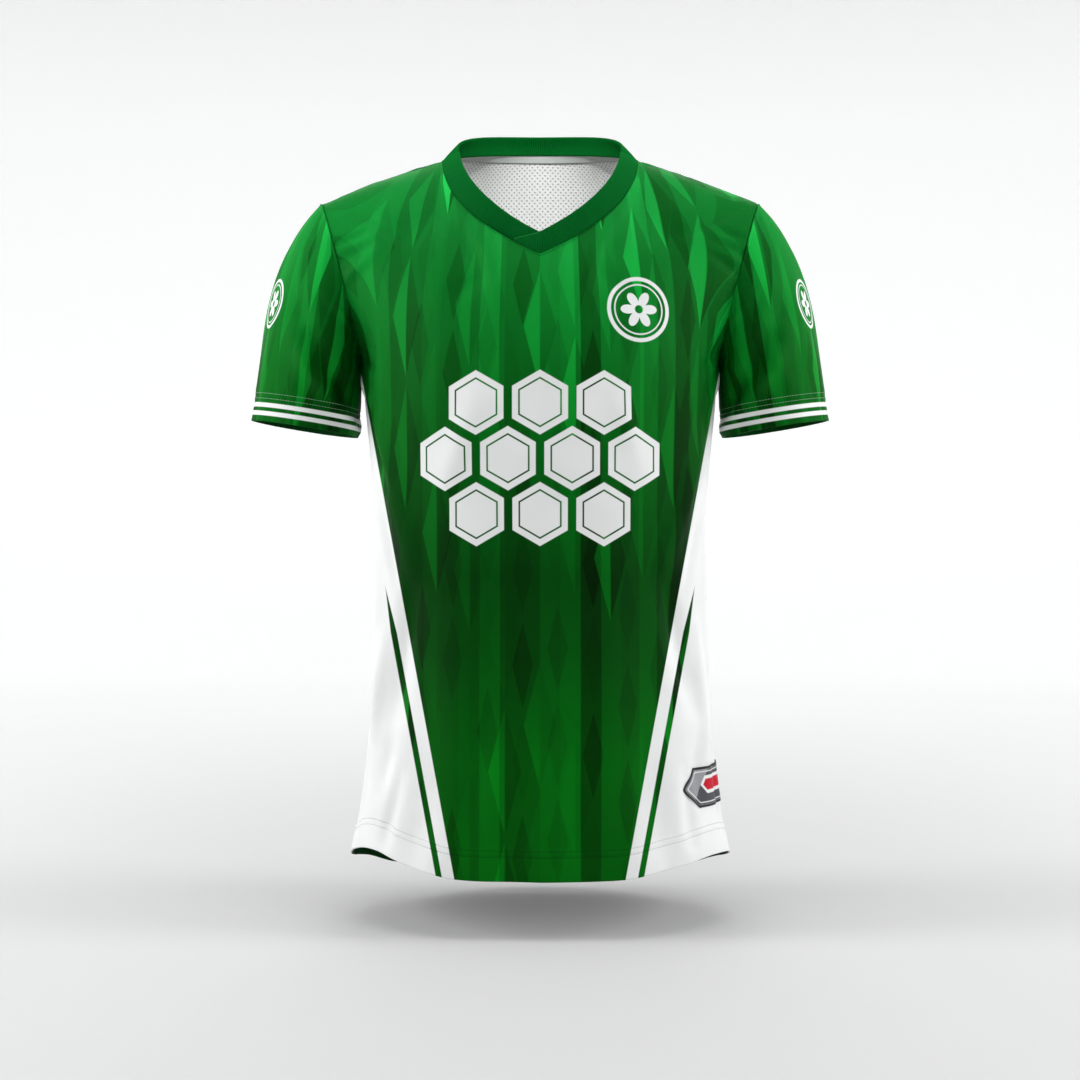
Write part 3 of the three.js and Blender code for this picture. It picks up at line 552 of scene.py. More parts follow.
def flat_cut(points, normals):
    """Across and up on the flat cut for each point of a panel's grid."""
    steps = np.linalg.norm(np.diff(points, axis=1), axis=-1)
    walked = np.concatenate([np.zeros((len(points), 1)), np.cumsum(steps, 1)], 1)
    across = walked - walked[:, centre : centre + 1]
    up = points[..., 2] - ARMPIT_Z
    level = unit(np.gradient(points[armpit_row], axis=0))
    for i in range(armpit_row + 1, len(points)):
        level = unit(level - normals[i] * dot(level, normals[i]))
        move = points[i] - points[i - 1]
        across[i] = across[i - 1] + dot(move, level)[:, 0]
        up[i] = up[i - 1] + dot(move, np.cross(normals[i], level))[:, 0]
    # The first step beside the centre is made as long as the next, so that small motifs keep their width.
    beside = across[:, centre + 2] - across[:, centre + 1]
    missing = (beside - across[:, centre + 1] + across[:, centre])[:, None]
    across += missing * np.sign(np.arange(across.shape[1]) - centre)
    return across, up


# %% Where the white sides begin
WHITE_EDGE_TOP, WHITE_EDGE_FOOT = (170, -261), (86, -717)  # two points (x, z) of the edge of the green
WHITE_POINT_Z = -214  # the white ends in a point under the arm
STRIPE_INSIDE, STRIPE_HALF_WIDTH = 15.0, 3.0  # the green stripe in the white, from the edge


def past_print_edge(points):
    """How far points lie outside the straight edge of the green, as seen from straight in front or behind."""
    nearness = EYE_DISTANCE / (EYE_DISTANCE - abs(points[..., 1]))
    seen_height = (points[..., 2] - EYE_HEIGHT) * nearness + EYE_HEIGHT
    (top_x, top_z), (foot_x, foot_z) = WHITE_EDGE_TOP, WHITE_EDGE_FOOT
    edge_x = top_x + (seen_height - top_z) * (top_x - foot_x) / (top_z - foot_z)
    return abs(points[..., 0]) * nearness - edge_x


def white_side_of(points):
    """How far each point lies inside the white side of the print."""
    return np.minimum(past_print_edge(points), -(points[..., 2] - WHITE_POINT_Z) / 4)


print("the green is", 2 * WHITE_EDGE_TOP[0], "mm wide at the top and", 2 * WHITE_EDGE_FOOT[0], "at the hem")

# %% Make both panels
def body_panel(panel):
    u, v = np.meshgrid(panel_columns if panel == "front" else -panel_columns, panel_rows)
    points = cloth_of_body(panel, u, v)
    even = smooth_body(panel, u, v)
    normals = unit(np.cross(np.gradient(even, axis=1), np.gradient(even, axis=0)))
    across, up = flat_cut(even, normals)
    girth = girth_at(panel, u)
    from_hem = np.minimum(v, 1) * (ARMPIT_Z - hem_height(girth))
    piece = cloth_piece(
        panel + "_panel",
        points,
        thick_where=from_hem < HEM_DEPTH,
        across=across,
        up=up,
        height=even[..., 2],
        white_side=white_side_of(points),
        from_top=(2 - v) * YOKE_HEIGHT,
    )
    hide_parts(panel)
    return piece, area_of(points)


front_panel, front_area = body_panel("front")
back_panel, back_area = body_panel("back")

# %% [markdown]
# ## Sleeves
#
# A sleeve is a tube from the armhole to the cuff. Its head shares the armhole's points with the panels. It leaves
# the shoulder rising outward and turns down, and under the arm it drops almost straight, so the cloth swells at
# the front and back. It hangs close to the body and folds across the bend of the arm.

# %% Sleeve curves
CUFF_OUTER = np.array([288, 2, -260.0])
CUFF_INNER = np.array([182.5, 2, -276.5])
CUFF_HALF_DEPTH = 57
SLEEVE_HEAD_DIRECTION = np.array([0.71, 0, -0.7])
UNDERARM_DIRECTION = np.array([0.13, 0, -1])
SLEEVE_FULLNESS = 0.2
SLEEVE_RADIUS = 75  # roughly, round its middle line
cuff_centre = (CUFF_OUTER + CUFF_INNER) / 2
cuff_outward = CUFF_OUTER - cuff_centre
sleeve_axis = unit(np.cross(cuff_outward, [0, 1, 0]))
sleeve_axis *= -np.sign(sleeve_axis[2])

SLEEVE_FOLD_LENGTH = 0.5  # how much one unit of along weighs against one of turn
large_sleeve_folds = table(
    "turn along to_turn to_along width depth",
    (0.07, 0.25, 0.2, 0.75, 0.03, 4.5),
    (0.15, 0.12, 0.3, 0.4, 0.035, -3),
    (0.9, 0.25, 0.78, 0.7, 0.035, 4.5),
    (0.84, 0.12, 0.7, 0.42, 0.035, -3),
    (0.36, 0.45, 0.4, 0.85, 0.04, 2.5),
)
small_sleeve_folds = table(
    "turn along to_turn to_along width depth",
    (0.03, 0.93, 0.29, 0.58, 0.045, 6.5),
    (0.08, 0.7, 0.3, 0.42, 0.05, -3.5),
    (0.98, 0.92, 0.82, 0.62, 0.03, 4.0),
    (0.12, 0.05, 0.24, 0.22, 0.016, 1.6),
    (0.05, 0.5, 0.14, 0.85, 0.018, -1.6),
    (0.24, 0.5, 0.29, 0.82, 0.022, 1.4),
    (0.2, 0.3, 0.34, 0.6, 0.02, 1.2),
    (0.46, 0.3, 0.52, 0.75, 0.03, 1.3),
    (0.62, 0.35, 0.6, 0.8, 0.028, 1.6),
    (0.73, 0.5, 0.7, 0.85, 0.022, -1.4),
    (0.88, 0.06, 0.76, 0.24, 0.016, 1.6),
    (0.95, 0.5, 0.86, 0.85, 0.018, -1.5),
)


def armhole(side, turn):
    """A point of the armhole. Turn is 0 at the armpit and 0.5 at the shoulder point by way of the front."""
    share = np.where(turn <= 0.5, turn * 2, (1 - turn) * 2)
    by_front = smooth_body("front", side, 1 + share)
    return np.where((turn <= 0.5)[..., None], by_front, smooth_body("back", side, 1 + share))


def cuff_point(side, turn):
    angle = (turn * 2 * np.pi)[..., None]
    p = cuff_centre - cuff_outward * np.cos(angle) - np.array([0, CUFF_HALF_DEPTH, 0]) * np.sin(angle)
    return mirrored(p, side)


def smooth_sleeve(side, turn, along):
    turn, along = np.broadcast_arrays(np.asarray(turn, float), np.asarray(along, float))
    angle = (turn * 2 * np.pi)[..., None]
    head = (1 - np.cos(angle)) / 2
    leave = UNDERARM_DIRECTION * (1 - head) + SLEEVE_HEAD_DIRECTION * head
    leave = mirrored(unit(leave - np.array([0, SLEEVE_FULLNESS, 0]) * np.sin(angle)), side)
    return arc_between(armhole(side, turn), cuff_point(side, turn), leave, mirrored(sleeve_axis, side), along)


def from_cuff(side, turn, along):
    """Distance from the cuff's edge, measured along the sleeve near its end."""
    pace = smooth_sleeve(side, turn, 1.0 + 0 * turn) - smooth_sleeve(side, turn, 0.98 + 0 * turn)
    return (1 - along) * np.linalg.norm(pace, axis=-1) / 0.02


def cloth_of_sleeve(side, turn, along):
    """The outer face of a finished sleeve."""
    turn, along = np.broadcast_arrays(np.asarray(turn, float), np.asarray(along, float))
    p = smooth_sleeve(side, turn, along)
    outward = side * normal_of(lambda a, b: smooth_sleeve(side, a, b), turn, np.minimum(along, 0.996))
    folds = 0
    for shift in (0, -1, 1):
        folds = folds + fold_depth(large_sleeve_folds, turn + shift, along, SLEEVE_FOLD_LENGTH)
        folds = folds + fold_depth(small_sleeve_folds, turn + shift, along, SLEEVE_FOLD_LENGTH)
    girth = turn * 360
    push = (unevenness(girth, along * 200, 9 + side) - folds) * smooth(along / 0.16)
    push = push * smooth((1.15 - along) / 0.25) + seam_relief(along * 180, girth)
    edge = from_cuff(side, turn, along)
    push += np.where(edge < 60, hem_relief(edge, girth, CUFF_STITCHES), 0)
    return p + outward * push[..., None]


# %% Make both sleeves
sleeve_turns = spaced(0, (0.5, 66), (1, 66))
sleeve_alongs = spaced(0, (0.04, 5), (0.8, 50), (1, 34))


def sleeve(name, node, side):
    turns = sleeve_turns if side > 0 else sleeve_turns[::-1]
    turn, along = np.meshgrid(turns, sleeve_alongs[::-1])
    points = cloth_of_sleeve(side, turn, along)
    from_axis = points * np.array([side, 1, 1]) - cuff_centre
    angle = np.arctan2(dot(from_axis, unit(cuff_outward))[..., 0], -from_axis[..., 1])
    angle = np.where((turn > 0.5) & (angle < 0), angle + 2 * np.pi, angle)
    edge = from_cuff(side, turn, along)
    piece = cloth_piece(
        name,
        points,
        thick_where=edge < CUFF_DEPTH,
        across=(angle - np.pi / 2) * SLEEVE_RADIUS,
        up=-dot(from_axis, sleeve_axis)[..., 0],
        height=points[..., 2],
        from_cuff=edge,
    )
    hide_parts(node)
    return piece, area_of(points)


right_sleeve, sleeve_area = sleeve("right_sleeve", "sleeve_right", -1)
left_sleeve, _ = sleeve("left_sleeve", "sleeve_left", 1)

# %% [markdown]
# ## The rib collar
#
# The collar is one strip of rib knit, folded double along its length and sewn to the neckline. Its left end laps
# over its right end at the V, and that end is cut slanting so that it lies along the seam. Rib is a row of fine
# ridges that run across the strip, and they are modelled: at the neck they are close to the eye and they make the
# soft edge that a rib has. The cross section is a closed loop: up the outside, over the fold, down the inside.

# %% Collar curves
COLLAR_TOP_FRONT = (0, -97, -87.4)
COLLAR_TOP_SIDE = (80.4, -4.1, 8.9)
COLLAR_TOP_BACK = (0, 57, 37.5)
collar_tops = {
    "front": (COLLAR_TOP_FRONT, (57.3, -86.3, -57.1), (76.5, -75.9, -24.1), COLLAR_TOP_SIDE),
    "back": (COLLAR_TOP_BACK, (60, 57, 38), (90.5, 22, 31), COLLAR_TOP_SIDE),
}
COLLAR_LAP = 0.115
COLLAR_ROLL = 1.6
LAP_DROP = 3.2
RIB_PITCH = 1.9


def collar_point(side, way, height):
    """A place on the collar. Way is 0 at the centre front, 1 at the neck point and 2 at the centre back."""
    t_front, t_back = np.clip(way, 0, 1) ** NECKLINE_SPREAD, np.clip(2 - way, 0, 1)
    ahead = (way <= 1)[..., None]
    seam = np.where(ahead, bezier(necklines["front"], t_front), bezier(necklines["back"], t_back))
    edge = np.where(ahead, bezier(collar_tops["front"], t_front), bezier(collar_tops["back"], t_back))
    h = np.asarray(height)[..., None]
    p = seam * (1 - h) + edge * h
    outward = unit(p * np.array([1, 1, 0]))
    return mirrored(p + outward * COLLAR_ROLL * np.sin(np.pi * h), side)


def collar_lap_point(share, height):
    """Past the centre front the left end lies over the right one and narrows to a corner on the seam."""
    h, s = np.asarray(height)[..., None], np.asarray(share)[..., None]
    seam = mirrored(bezier(necklines["front"], share * COLLAR_LAP), -1.0)
    corner = mirrored(bezier(necklines["front"], COLLAR_LAP), -1.0) + np.array([0, 0, 1.5])
    edge = np.array(COLLAR_TOP_FRONT, float) * (1 - s) + corner * s
    p = seam * (1 - h) + edge * h
    return p - np.array([0, COLLAR_ROLL, 0]) * np.sin(np.pi * h) * (1 - s)


def collar_band(lap, side, way, height):
    p = collar_point(side, way, height)
    drop = np.where(side < 0, LAP_DROP * (1 - smooth((way - 0.2) / 0.25)), 0)
    p = p + drop[..., None] * np.array([0, 1, 0])
    return np.where((lap > 0)[..., None], collar_lap_point(lap, height), p)


# %% Make the collar
def collar_stations():
    """Places along the strip, about three to a rib, from its upper end at the V to its lower end."""
    lap = spaced(1, (0, 44))[:-1]
    half_way = spaced(0, (1, 300), (2, 220))
    lap = np.r_[lap, np.zeros(2 * len(half_way) - 1)]
    side = np.r_[np.ones(len(lap) - len(half_way) + 1), -np.ones(len(half_way) - 1)]
    way = np.r_[np.zeros(len(lap) - 2 * len(half_way) + 1), half_way, half_way[::-1][1:]]
    return lap, side, way


lap, side, way = collar_stations()
collar_heights = np.linspace(-0.065, 0.945, 10)  # it starts a little below the seam, over the panels
stations = [np.repeat(x[:, None], len(collar_heights), 1) for x in (lap, side, way)]
outside = collar_band(*stations, np.repeat(collar_heights[None], len(lap), 0))
facing = unit(np.cross(np.gradient(outside, axis=0), np.gradient(outside, axis=1)))
walked = np.r_[0, np.cumsum(np.linalg.norm(np.diff(outside[:, 0], axis=0), axis=-1))]
ridges = 0.24 * np.sin(2 * np.pi * walked / RIB_PITCH)[:, None, None]
over_the_fold = []
for angle in np.linspace(0, np.pi, 7)[1:-1]:
    rise = unit(outside[:, -1] - outside[:, -2])
    middle = outside[:, -1] - facing[:, -1] * RIB / 2
    spoke = facing[:, -1] * np.cos(angle) + rise * np.sin(angle)
    over_the_fold.append(middle + spoke * (RIB / 2 + ridges[:, 0]))
collar_loop = np.concatenate(
    [outside + facing * ridges, np.stack(over_the_fold, 1), (outside - facing * (RIB + ridges))[:, ::-1]], 1
)
count, around = collar_loop.shape[:2]
step = np.arange(count - 1)[:, None] * around
here, there = np.arange(around), np.roll(np.arange(around), -1)
strip = np.stack([step + here, step + there, step + around + there, step + around + here], -1).reshape(-1, 4)
ends = [list(range(around)), list(range((count - 1) * around, count * around))[::-1]]
collar_rib = new_piece("collar_rib", collar_loop, [*strip.tolist(), *ends])
carry(collar_rib, along_rib=np.repeat(walked[:, None], around, 1))
made = bmesh.new()
made.from_mesh(collar_rib.data)
bmesh.ops.recalc_face_normals(made, faces=made.faces)
made.to_mesh(collar_rib.data)
made.free()
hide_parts("collar")

print("collar strip", round(walked[-1]), "mm long,", round(walked[-1] / RIB_PITCH), "ribs")

# %% [markdown]
# ## Tape and label
#
# A narrow woven tape covers the back neck seam on the inside. The label is folded over the left side seam and
# sewn flat on front and back. Both lie on the cloth, so their points are the cloth's own points, lifted off it.

# %% Neck tape
TAPE_WIDTH = 9
TAPE_LIFT = 1.0
TAPE_REACH = 0.405  # how far it runs to each side, as a share of the panel's half width


def tape_place(u, drop):
    """A place on the inside of the back, a distance below its neckline."""
    pace = smooth_body("back", u, 2.0 + 0 * u) - smooth_body("back", u, 1.98 + 0 * u)
    v = 2 - 0.02 * drop / np.linalg.norm(pace, axis=-1)
    inward = normal_of(lambda a, b: smooth_body("back", a, b), u, np.minimum(v, 1.99))
    return smooth_body("back", u, v) + inward * (KNIT + TAPE_LIFT)


u, drop = np.meshgrid(np.linspace(-TAPE_REACH, TAPE_REACH, 110), np.linspace(TAPE_WIDTH, -0.4, 9))
tape_points = tape_place(u, drop)
neck_tape = cloth_piece("neck_tape_strip", tape_points, across=u * SIDE_SEAM, up=drop)
neck_tape.modifiers[0].thickness = 0.7 * MM
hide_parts("neck_tape")
tape_area = round(area_of(tape_points), 5)

# %% Side label
LABEL_FROM, LABEL_TO = 143, 262
LABEL_LENGTH = LABEL_TO - LABEL_FROM
LABEL_TOP_Z, LABEL_HEIGHT = -598, 38
LABEL_LIFT = 1.3


def on_left_side(girth, z):
    """A place on the cloth beside the left side seam, front or back of it."""
    v = (z - hem_height(girth)) / (ARMPIT_Z - hem_height(girth))
    in_front = cloth_of_body("front", np.minimum(girth / SIDE_SEAM, 1), v)
    behind = cloth_of_body("back", np.minimum((HALF_GIRTH - girth) / SIDE_SEAM, 1), v)
    return np.where((girth <= SIDE_SEAM)[..., None], in_front, behind)


along, up = np.meshgrid(np.linspace(0, 1, 100), np.linspace(0, 1, 32))
cut = LABEL_HEIGHT / 2 * abs(2 * up - 1)  # each end comes to a point
row_length = LABEL_LENGTH - 2 * cut
girth = LABEL_FROM + cut + row_length * along
under_label = on_left_side(girth, LABEL_TOP_Z - LABEL_HEIGHT * (1 - up))
for _ in range(6):  # the stiff label bridges the small folds under it
    under_label[:, 1:-1] = (under_label[:, :-2] + 2 * under_label[:, 1:-1] + under_label[:, 2:]) / 4
label_facing = unit(np.cross(np.gradient(under_label, axis=1), np.gradient(under_label, axis=0)))
label_points = under_label + label_facing * LABEL_LIFT
from_slanting_end = np.minimum(along, 1 - along) * row_length * math.sin(math.radians(45))
from_label_edge = np.minimum(from_slanting_end, np.minimum(up, 1 - up) * LABEL_HEIGHT)
side_label = cloth_piece(
    "side_label_patch",
    label_points,
    across=cut + along * row_length,
    up=up * LABEL_HEIGHT,
    from_edge=from_label_edge,
)
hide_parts("side_label")
round(area_of(label_points), 5)

# %% [markdown]
# ## Thread
#
# Hems of a jersey are sewn with a twin needle, which leaves two even rows of short stitches. A stitch is a small
# arch of thread that comes out of the cloth and goes back in. One could put one stitch on a curve with an Array and
# a Curve modifier. There are about 1,700 of them in many rows, so arrays of points are quicker: every row is cut
# into equal paces and each pace gets the same little tube.

# %% Stitches along a line
STITCH_SIDES = 5
STITCH_RINGS = ((-1.0, 0.55), (-0.45, 1.0), (0.45, 1.0), (1.0, 0.55))  # (place along it, thickness)


def stitch_tubes(line, facing, pitch, length, thick):
    """Points of one small arched tube for each pace of a line that lies on the cloth."""
    walked = np.r_[0, np.cumsum(np.linalg.norm(np.diff(line, axis=0), axis=-1))]
    places = np.arange(pitch / 2, walked[-1], pitch)
    middle = np.stack([np.interp(places, walked, line[:, k]) for k in range(3)], -1)
    ahead = np.stack([np.interp(places + 0.5, walked, line[:, k]) for k in range(3)], -1)
    out = unit(np.stack([np.interp(places, walked, facing[:, k]) for k in range(3)], -1))
    step = ahead - middle
    step = np.where(dot(step, step) > 1e-9, step, np.roll(step, 1, 0))  # the last one may have none
    ahead = unit(step - out * dot(step, out))
    sideways = np.cross(ahead, out)
    tubes = []
    for place, girth in STITCH_RINGS:
        ring_centre = middle + ahead * place * length / 2 + out * thick * (0.34 - 0.5 * place**2)
        for angle in np.arange(STITCH_SIDES) * 2 * np.pi / STITCH_SIDES:
            spoke = out * np.cos(angle) * 0.8 + sideways * np.sin(angle)
            tubes.append(ring_centre + spoke * thick / 2 * girth)
    return np.stack(tubes, 1)


def sew(name, rows, pitch=3.0, length=2.3, thick=0.55):
    """One piece with all the stitches of several rows, each a line and the way out of the cloth along it."""
    tubes = np.concatenate([stitch_tubes(line, facing, pitch, length, thick) for line, facing in rows])
    here, there = np.arange(STITCH_SIDES), np.roll(np.arange(STITCH_SIDES), -1)
    wall = np.stack([here, there, there + STITCH_SIDES, here + STITCH_SIDES], -1)
    walls = np.concatenate([wall + ring * STITCH_SIDES for ring in range(len(STITCH_RINGS) - 1)])
    ends = np.stack([here[::-1], here + (len(STITCH_RINGS) - 1) * STITCH_SIDES])
    start = np.arange(len(tubes))[:, None, None] * len(STITCH_RINGS) * STITCH_SIDES
    faces = (start + walls[None]).reshape(-1, 4).tolist()
    caps = (start + ends[None]).reshape(-1, STITCH_SIDES).tolist()
    piece = new_piece(name, tubes, faces + caps)
    on_white = white_side_of(tubes)
    carry(piece, pale=(on_white > 0) & (abs(on_white - STRIPE_INSIDE) > STRIPE_HALF_WIDTH + 0.5))
    print(f"{name}: {len(tubes)} stitches")
    return piece


# %% Hem, cuffs, neck, tape and label
def body_row(panel, u, v):
    line = cloth_of_body(panel, u, v)
    facing = normal_of(lambda a, b: cloth_of_body(panel, a, b), u, np.minimum(v, 1.99), 0.003)
    return line, facing if panel == "front" else -facing


def hem_rows(panel):
    u = np.linspace(-0.995, 0.995, 360)
    depth = ARMPIT_Z - hem_height(girth_at(panel, u))
    return [body_row(panel, u, height / depth) for height in HEM_STITCHES]


def neck_row(panel, below=3.4):
    u = np.linspace(-0.44, 0.44, 200)
    pace = smooth_body(panel, u, 2.0 + 0 * u) - smooth_body(panel, u, 1.98 + 0 * u)
    return body_row(panel, u, 2 - 0.02 * below / np.linalg.norm(pace, axis=-1))


def cuff_rows(side):
    turn = np.linspace(0.004, 0.996, 260)
    pace = from_cuff(side, turn, 0 * turn)
    rows = []
    for height in CUFF_STITCHES:
        line = cloth_of_sleeve(side, turn, 1 - height / pace)
        out = side * normal_of(lambda a, b: cloth_of_sleeve(side, a, b), turn, 1 - height / pace, 0.003)
        rows.append((line, out))
    return rows


def shoulder_row(side, below=4.0):
    u = side * np.linspace(0.46, 0.985, 120)
    return body_row("back", u, 2 - below / YOKE_HEIGHT + 0 * u)


front_hem_thread = sew("front_hem_thread", hem_rows("front"))
back_hem_thread = sew("back_hem_thread", hem_rows("back"))
right_cuff_thread = sew("right_cuff_thread", cuff_rows(-1))
left_cuff_thread = sew("left_cuff_thread", cuff_rows(1))
front_neck_thread = sew("front_neck_thread", [neck_row("front")], 2.6, 1.9, 0.45)
back_rows = [neck_row("back"), shoulder_row(-1), shoulder_row(1)]
back_neck_thread = sew("back_neck_thread", back_rows, 2.6, 1.9, 0.45)
lap_place = np.linspace(0.02, 0.93, 40)
lap_line = collar_lap_point(lap_place, 0 * lap_place + 0.93)
lap_facing = np.tile([0.0, -0.9, 0.42], (len(lap_place), 1))
lap_thread = sew("lap_thread", [(lap_line, lap_facing)], 1.5, 1.3, 0.6)
tape_facing = unit(np.cross(np.gradient(tape_points, axis=1), np.gradient(tape_points, axis=0)))
tape_row = (tape_points[1, 2:-2], tape_facing[1, 2:-2])
tape_thread = sew("tape_thread", [tape_row], 2.4, 1.7, 0.4)
label_rows = [
    (label_points[2, 3:-3], label_facing[2, 3:-3]),
    (label_points[-3, 3:-3], label_facing[-3, 3:-3]),
    (label_points[2:-2, 2], label_facing[2:-2, 2]),
    (label_points[2:-2, -3], label_facing[2:-2, -3]),
]
label_thread = sew("label_thread", label_rows, 2.2, 1.6, 0.4)

# %% [markdown]
# ## Dyes and yarns
#
# Sublimation printing dyes the yarn itself, so the print has no thickness of its own and follows every fold. The
# best way to draw it is therefore in the material. The numbers that the cloth carries are turned into colour by a
# chain of Math nodes. A small class lets us write that chain as ordinary arithmetic, which is far easier to read
# than a web of nodes and makes exactly the same nodes.

# %% Arithmetic that makes nodes
YARN_GLOSS = 0.03  # the yarn's fibres scatter light, so a smooth reflection hardly shows


def dye(code):
    """A colour given as on a dyer's card, such as #0b7a26, in the linear values that shaders use."""
    parts = [int(code[k : k + 2], 16) / 255 for k in (1, 3, 5)]
    return (*(c / 12.92 if c <= 0.04045 else ((c + 0.055) / 1.055) ** 2.4 for c in parts), 1.0)


class Field:
    """A number that varies over the cloth. Arithmetic on it adds Math nodes to its material."""

    def __init__(self, tree, socket):
        self.tree, self.socket = tree, socket

    def math(self, operation, *others, clamp=False):
        node = self.tree.nodes.new("ShaderNodeMath")
        node.operation, node.use_clamp = operation, clamp
        for k, value in enumerate((self, *others)):
            if isinstance(value, Field):
                self.tree.links.new(value.socket, node.inputs[k])
            else:
                node.inputs[k].default_value = value
        return Field(self.tree, node.outputs[0])

    def __add__(self, other):
        return self.math("ADD", other)

    def __sub__(self, other):
        return self.math("SUBTRACT", other)

    def __mul__(self, other):
        return self.math("MULTIPLY", other)

    def __truediv__(self, other):
        return self.math("DIVIDE", other)

    def __neg__(self):
        return self.math("MULTIPLY", -1.0)

    def __abs__(self):
        return self.math("ABSOLUTE")

    def larger(self, other):
        return self.math("MAXIMUM", other)

    def smaller(self, other):
        return self.math("MINIMUM", other)

    def below(self, limit=0.0, soft=0.3):
        """1 where the number is below the limit and 0 where it is above, with a short step between."""
        return (self - limit).math("MULTIPLY_ADD", -0.5 / soft, 0.5, clamp=True)

    def wave(self, pitch):
        return (self * (2 * math.pi / pitch)).math("SINE")


class Dyeing:
    """A cloth material while it is being made: it hands out the numbers of the cloth and mixes colours."""

    def __init__(self, name):
        self.material = bpy.data.materials.new(name)
        self.material.use_nodes = True
        self.tree = self.material.node_tree
        self.shader = self.tree.nodes["Principled BSDF"]

    def number(self, name):
        node = self.tree.nodes.new("ShaderNodeAttribute")
        node.attribute_name = name
        return Field(self.tree, node.outputs["Fac"])

    def place(self):
        """Where a point of the piece is, in millimetres."""
        coordinates = self.tree.nodes.new("ShaderNodeTexCoord")
        apart = self.tree.nodes.new("ShaderNodeSeparateXYZ")
        self.tree.links.new(coordinates.outputs["Object"], apart.inputs[0])
        return tuple(Field(self.tree, apart.outputs[axis]) * (1 / MM) for axis in range(3))

    def chance(self, first, second=None):
        """A random number for each whole value of one or two fields."""
        node = self.tree.nodes.new("ShaderNodeTexWhiteNoise")
        node.noise_dimensions = "2D"
        both = self.tree.nodes.new("ShaderNodeCombineXYZ")
        self.tree.links.new(first.socket, both.inputs[0])
        if second is not None:
            self.tree.links.new(second.socket, both.inputs[1])
        self.tree.links.new(both.outputs[0], node.inputs["Vector"])
        return Field(self.tree, node.outputs["Value"])

    def clouds(self, across, up, size, detail=2.0):
        """Soft cloudy variation over the cloth, about 0.5 on average, with clouds of the given size."""
        both = self.tree.nodes.new("ShaderNodeCombineXYZ")
        self.tree.links.new((across / size).socket, both.inputs[0])
        self.tree.links.new((up / size).socket, both.inputs[1])
        node = self.tree.nodes.new("ShaderNodeTexNoise")
        node.inputs["Scale"].default_value = 1.0
        node.inputs["Detail"].default_value = detail
        self.tree.links.new(both.outputs[0], node.inputs["Vector"])
        return Field(self.tree, node.outputs["Fac"])

    def ramp(self, field, *stops):
        """Colours along a number, as (position, colour) from 0 to 1."""
        node = self.tree.nodes.new("ShaderNodeValToRGB")
        elements = node.color_ramp.elements
        while len(elements) < len(stops):
            elements.new(0.5)
        for element, (position, code) in zip(elements, stops):
            element.position, element.color = position, dye(code)
        self.tree.links.new(field.socket, node.inputs["Fac"])
        return node.outputs["Color"]

    def mix(self, amount, first, second):
        """Two colours, or a colour and a card code, mixed by a field."""
        node = self.tree.nodes.new("ShaderNodeMix")
        node.data_type = "RGBA"
        self.tree.links.new(amount.socket, node.inputs["Factor"])
        for socket, colour in ((node.inputs[6], first), (node.inputs[7], second)):
            if isinstance(colour, str):
                socket.default_value = dye(colour)
            else:
                self.tree.links.new(colour, socket)
        return node.outputs[2]

    def finish(self, colour, relief, height, roughness, sheen=0.0):
        """Sets the colour, a relief in millimetres as bump, and how the yarn catches light."""
        if isinstance(colour, str):
            self.shader.inputs["Base Color"].default_value = dye(colour)
        else:
            self.tree.links.new(colour, self.shader.inputs["Base Color"])
        bump = self.tree.nodes.new("ShaderNodeBump")
        bump.inputs["Distance"].default_value = height * MM
        self.tree.links.new(relief.socket, bump.inputs["Height"])
        self.tree.links.new(bump.outputs["Normal"], self.shader.inputs["Normal"])
        if isinstance(roughness, Field):
            self.tree.links.new(roughness.socket, self.shader.inputs["Roughness"])
        else:
            self.shader.inputs["Roughness"].default_value = roughness
        self.shader.inputs["Specular IOR Level"].default_value = YARN_GLOSS
        self.shader.inputs["Sheen Weight"].default_value = sheen
        self.shader.inputs["Sheen Roughness"].default_value = 0.45
        return self.material


# %% [markdown]
# ## The print
#
# The ground runs from a fresh green on the shoulders to a very dark one at the belly and up again to the hem. The
# fresh green of the shoulders is partly painted highlight, standing in for the light from above, and the dark belly
# is print. On the ground lie upright bands of slightly different tone, and over them tall narrow lozenges in
# columns, each split into a light and a dark half, as in a harlequin pattern. Chance decides how strongly each of
# them shows, so that the print looks lively without a repeat that the eye can find. The sides are white, with one
# thin green stripe.

# %% Bands and lozenges
BAND = 19.0
LOZENGE_COLUMN, LOZENGE_ROW = 33.0, 124.0


def tonal_pattern(cloth, across, up):
    """How light the print is at each place, from 0 to 1."""
    band = (across / BAND).math("FLOOR")
    tone = cloth.chance(band) * 0.5
    column = (across / LOZENGE_COLUMN + 0.5).math("FLOOR")
    sideways = across / LOZENGE_COLUMN + 0.5 - column - 0.5
    shifted = up / LOZENGE_ROW + column * 0.5 + cloth.chance(column) * 0.35
    row = shifted.math("FLOOR")
    upward = shifted - row - 0.5
    lozenge = (abs(sideways) * 2.15 + abs(upward) * 2.1 - 1.0) * 10
    strength = cloth.chance(column, row)
    strength = strength * strength * strength * 1.3
    light_half = sideways.below(0.0, 0.02)
    shape = lozenge.below(0.0, 0.12) * strength
    tone = tone + shape * (light_half * 1.05 - 0.3) * (upward * -0.5 + 0.75)
    second = (across / LOZENGE_COLUMN).math("FLOOR")
    beside = across / LOZENGE_COLUMN - second - 0.5
    climbed = up / (LOZENGE_ROW * 0.72) + second * 0.5 + cloth.chance(second + 40.0) * 0.6
    level = climbed.math("FLOOR")
    tall = climbed - level - 0.5
    thin = (abs(beside) * 3.4 + abs(tall) * 2.2 - 1.0) * 8
    tone = tone - thin.below(0.0, 0.15) * cloth.chance(second + 11.0, level) * 0.18
    return tone.math("ADD", 0.08, clamp=True)


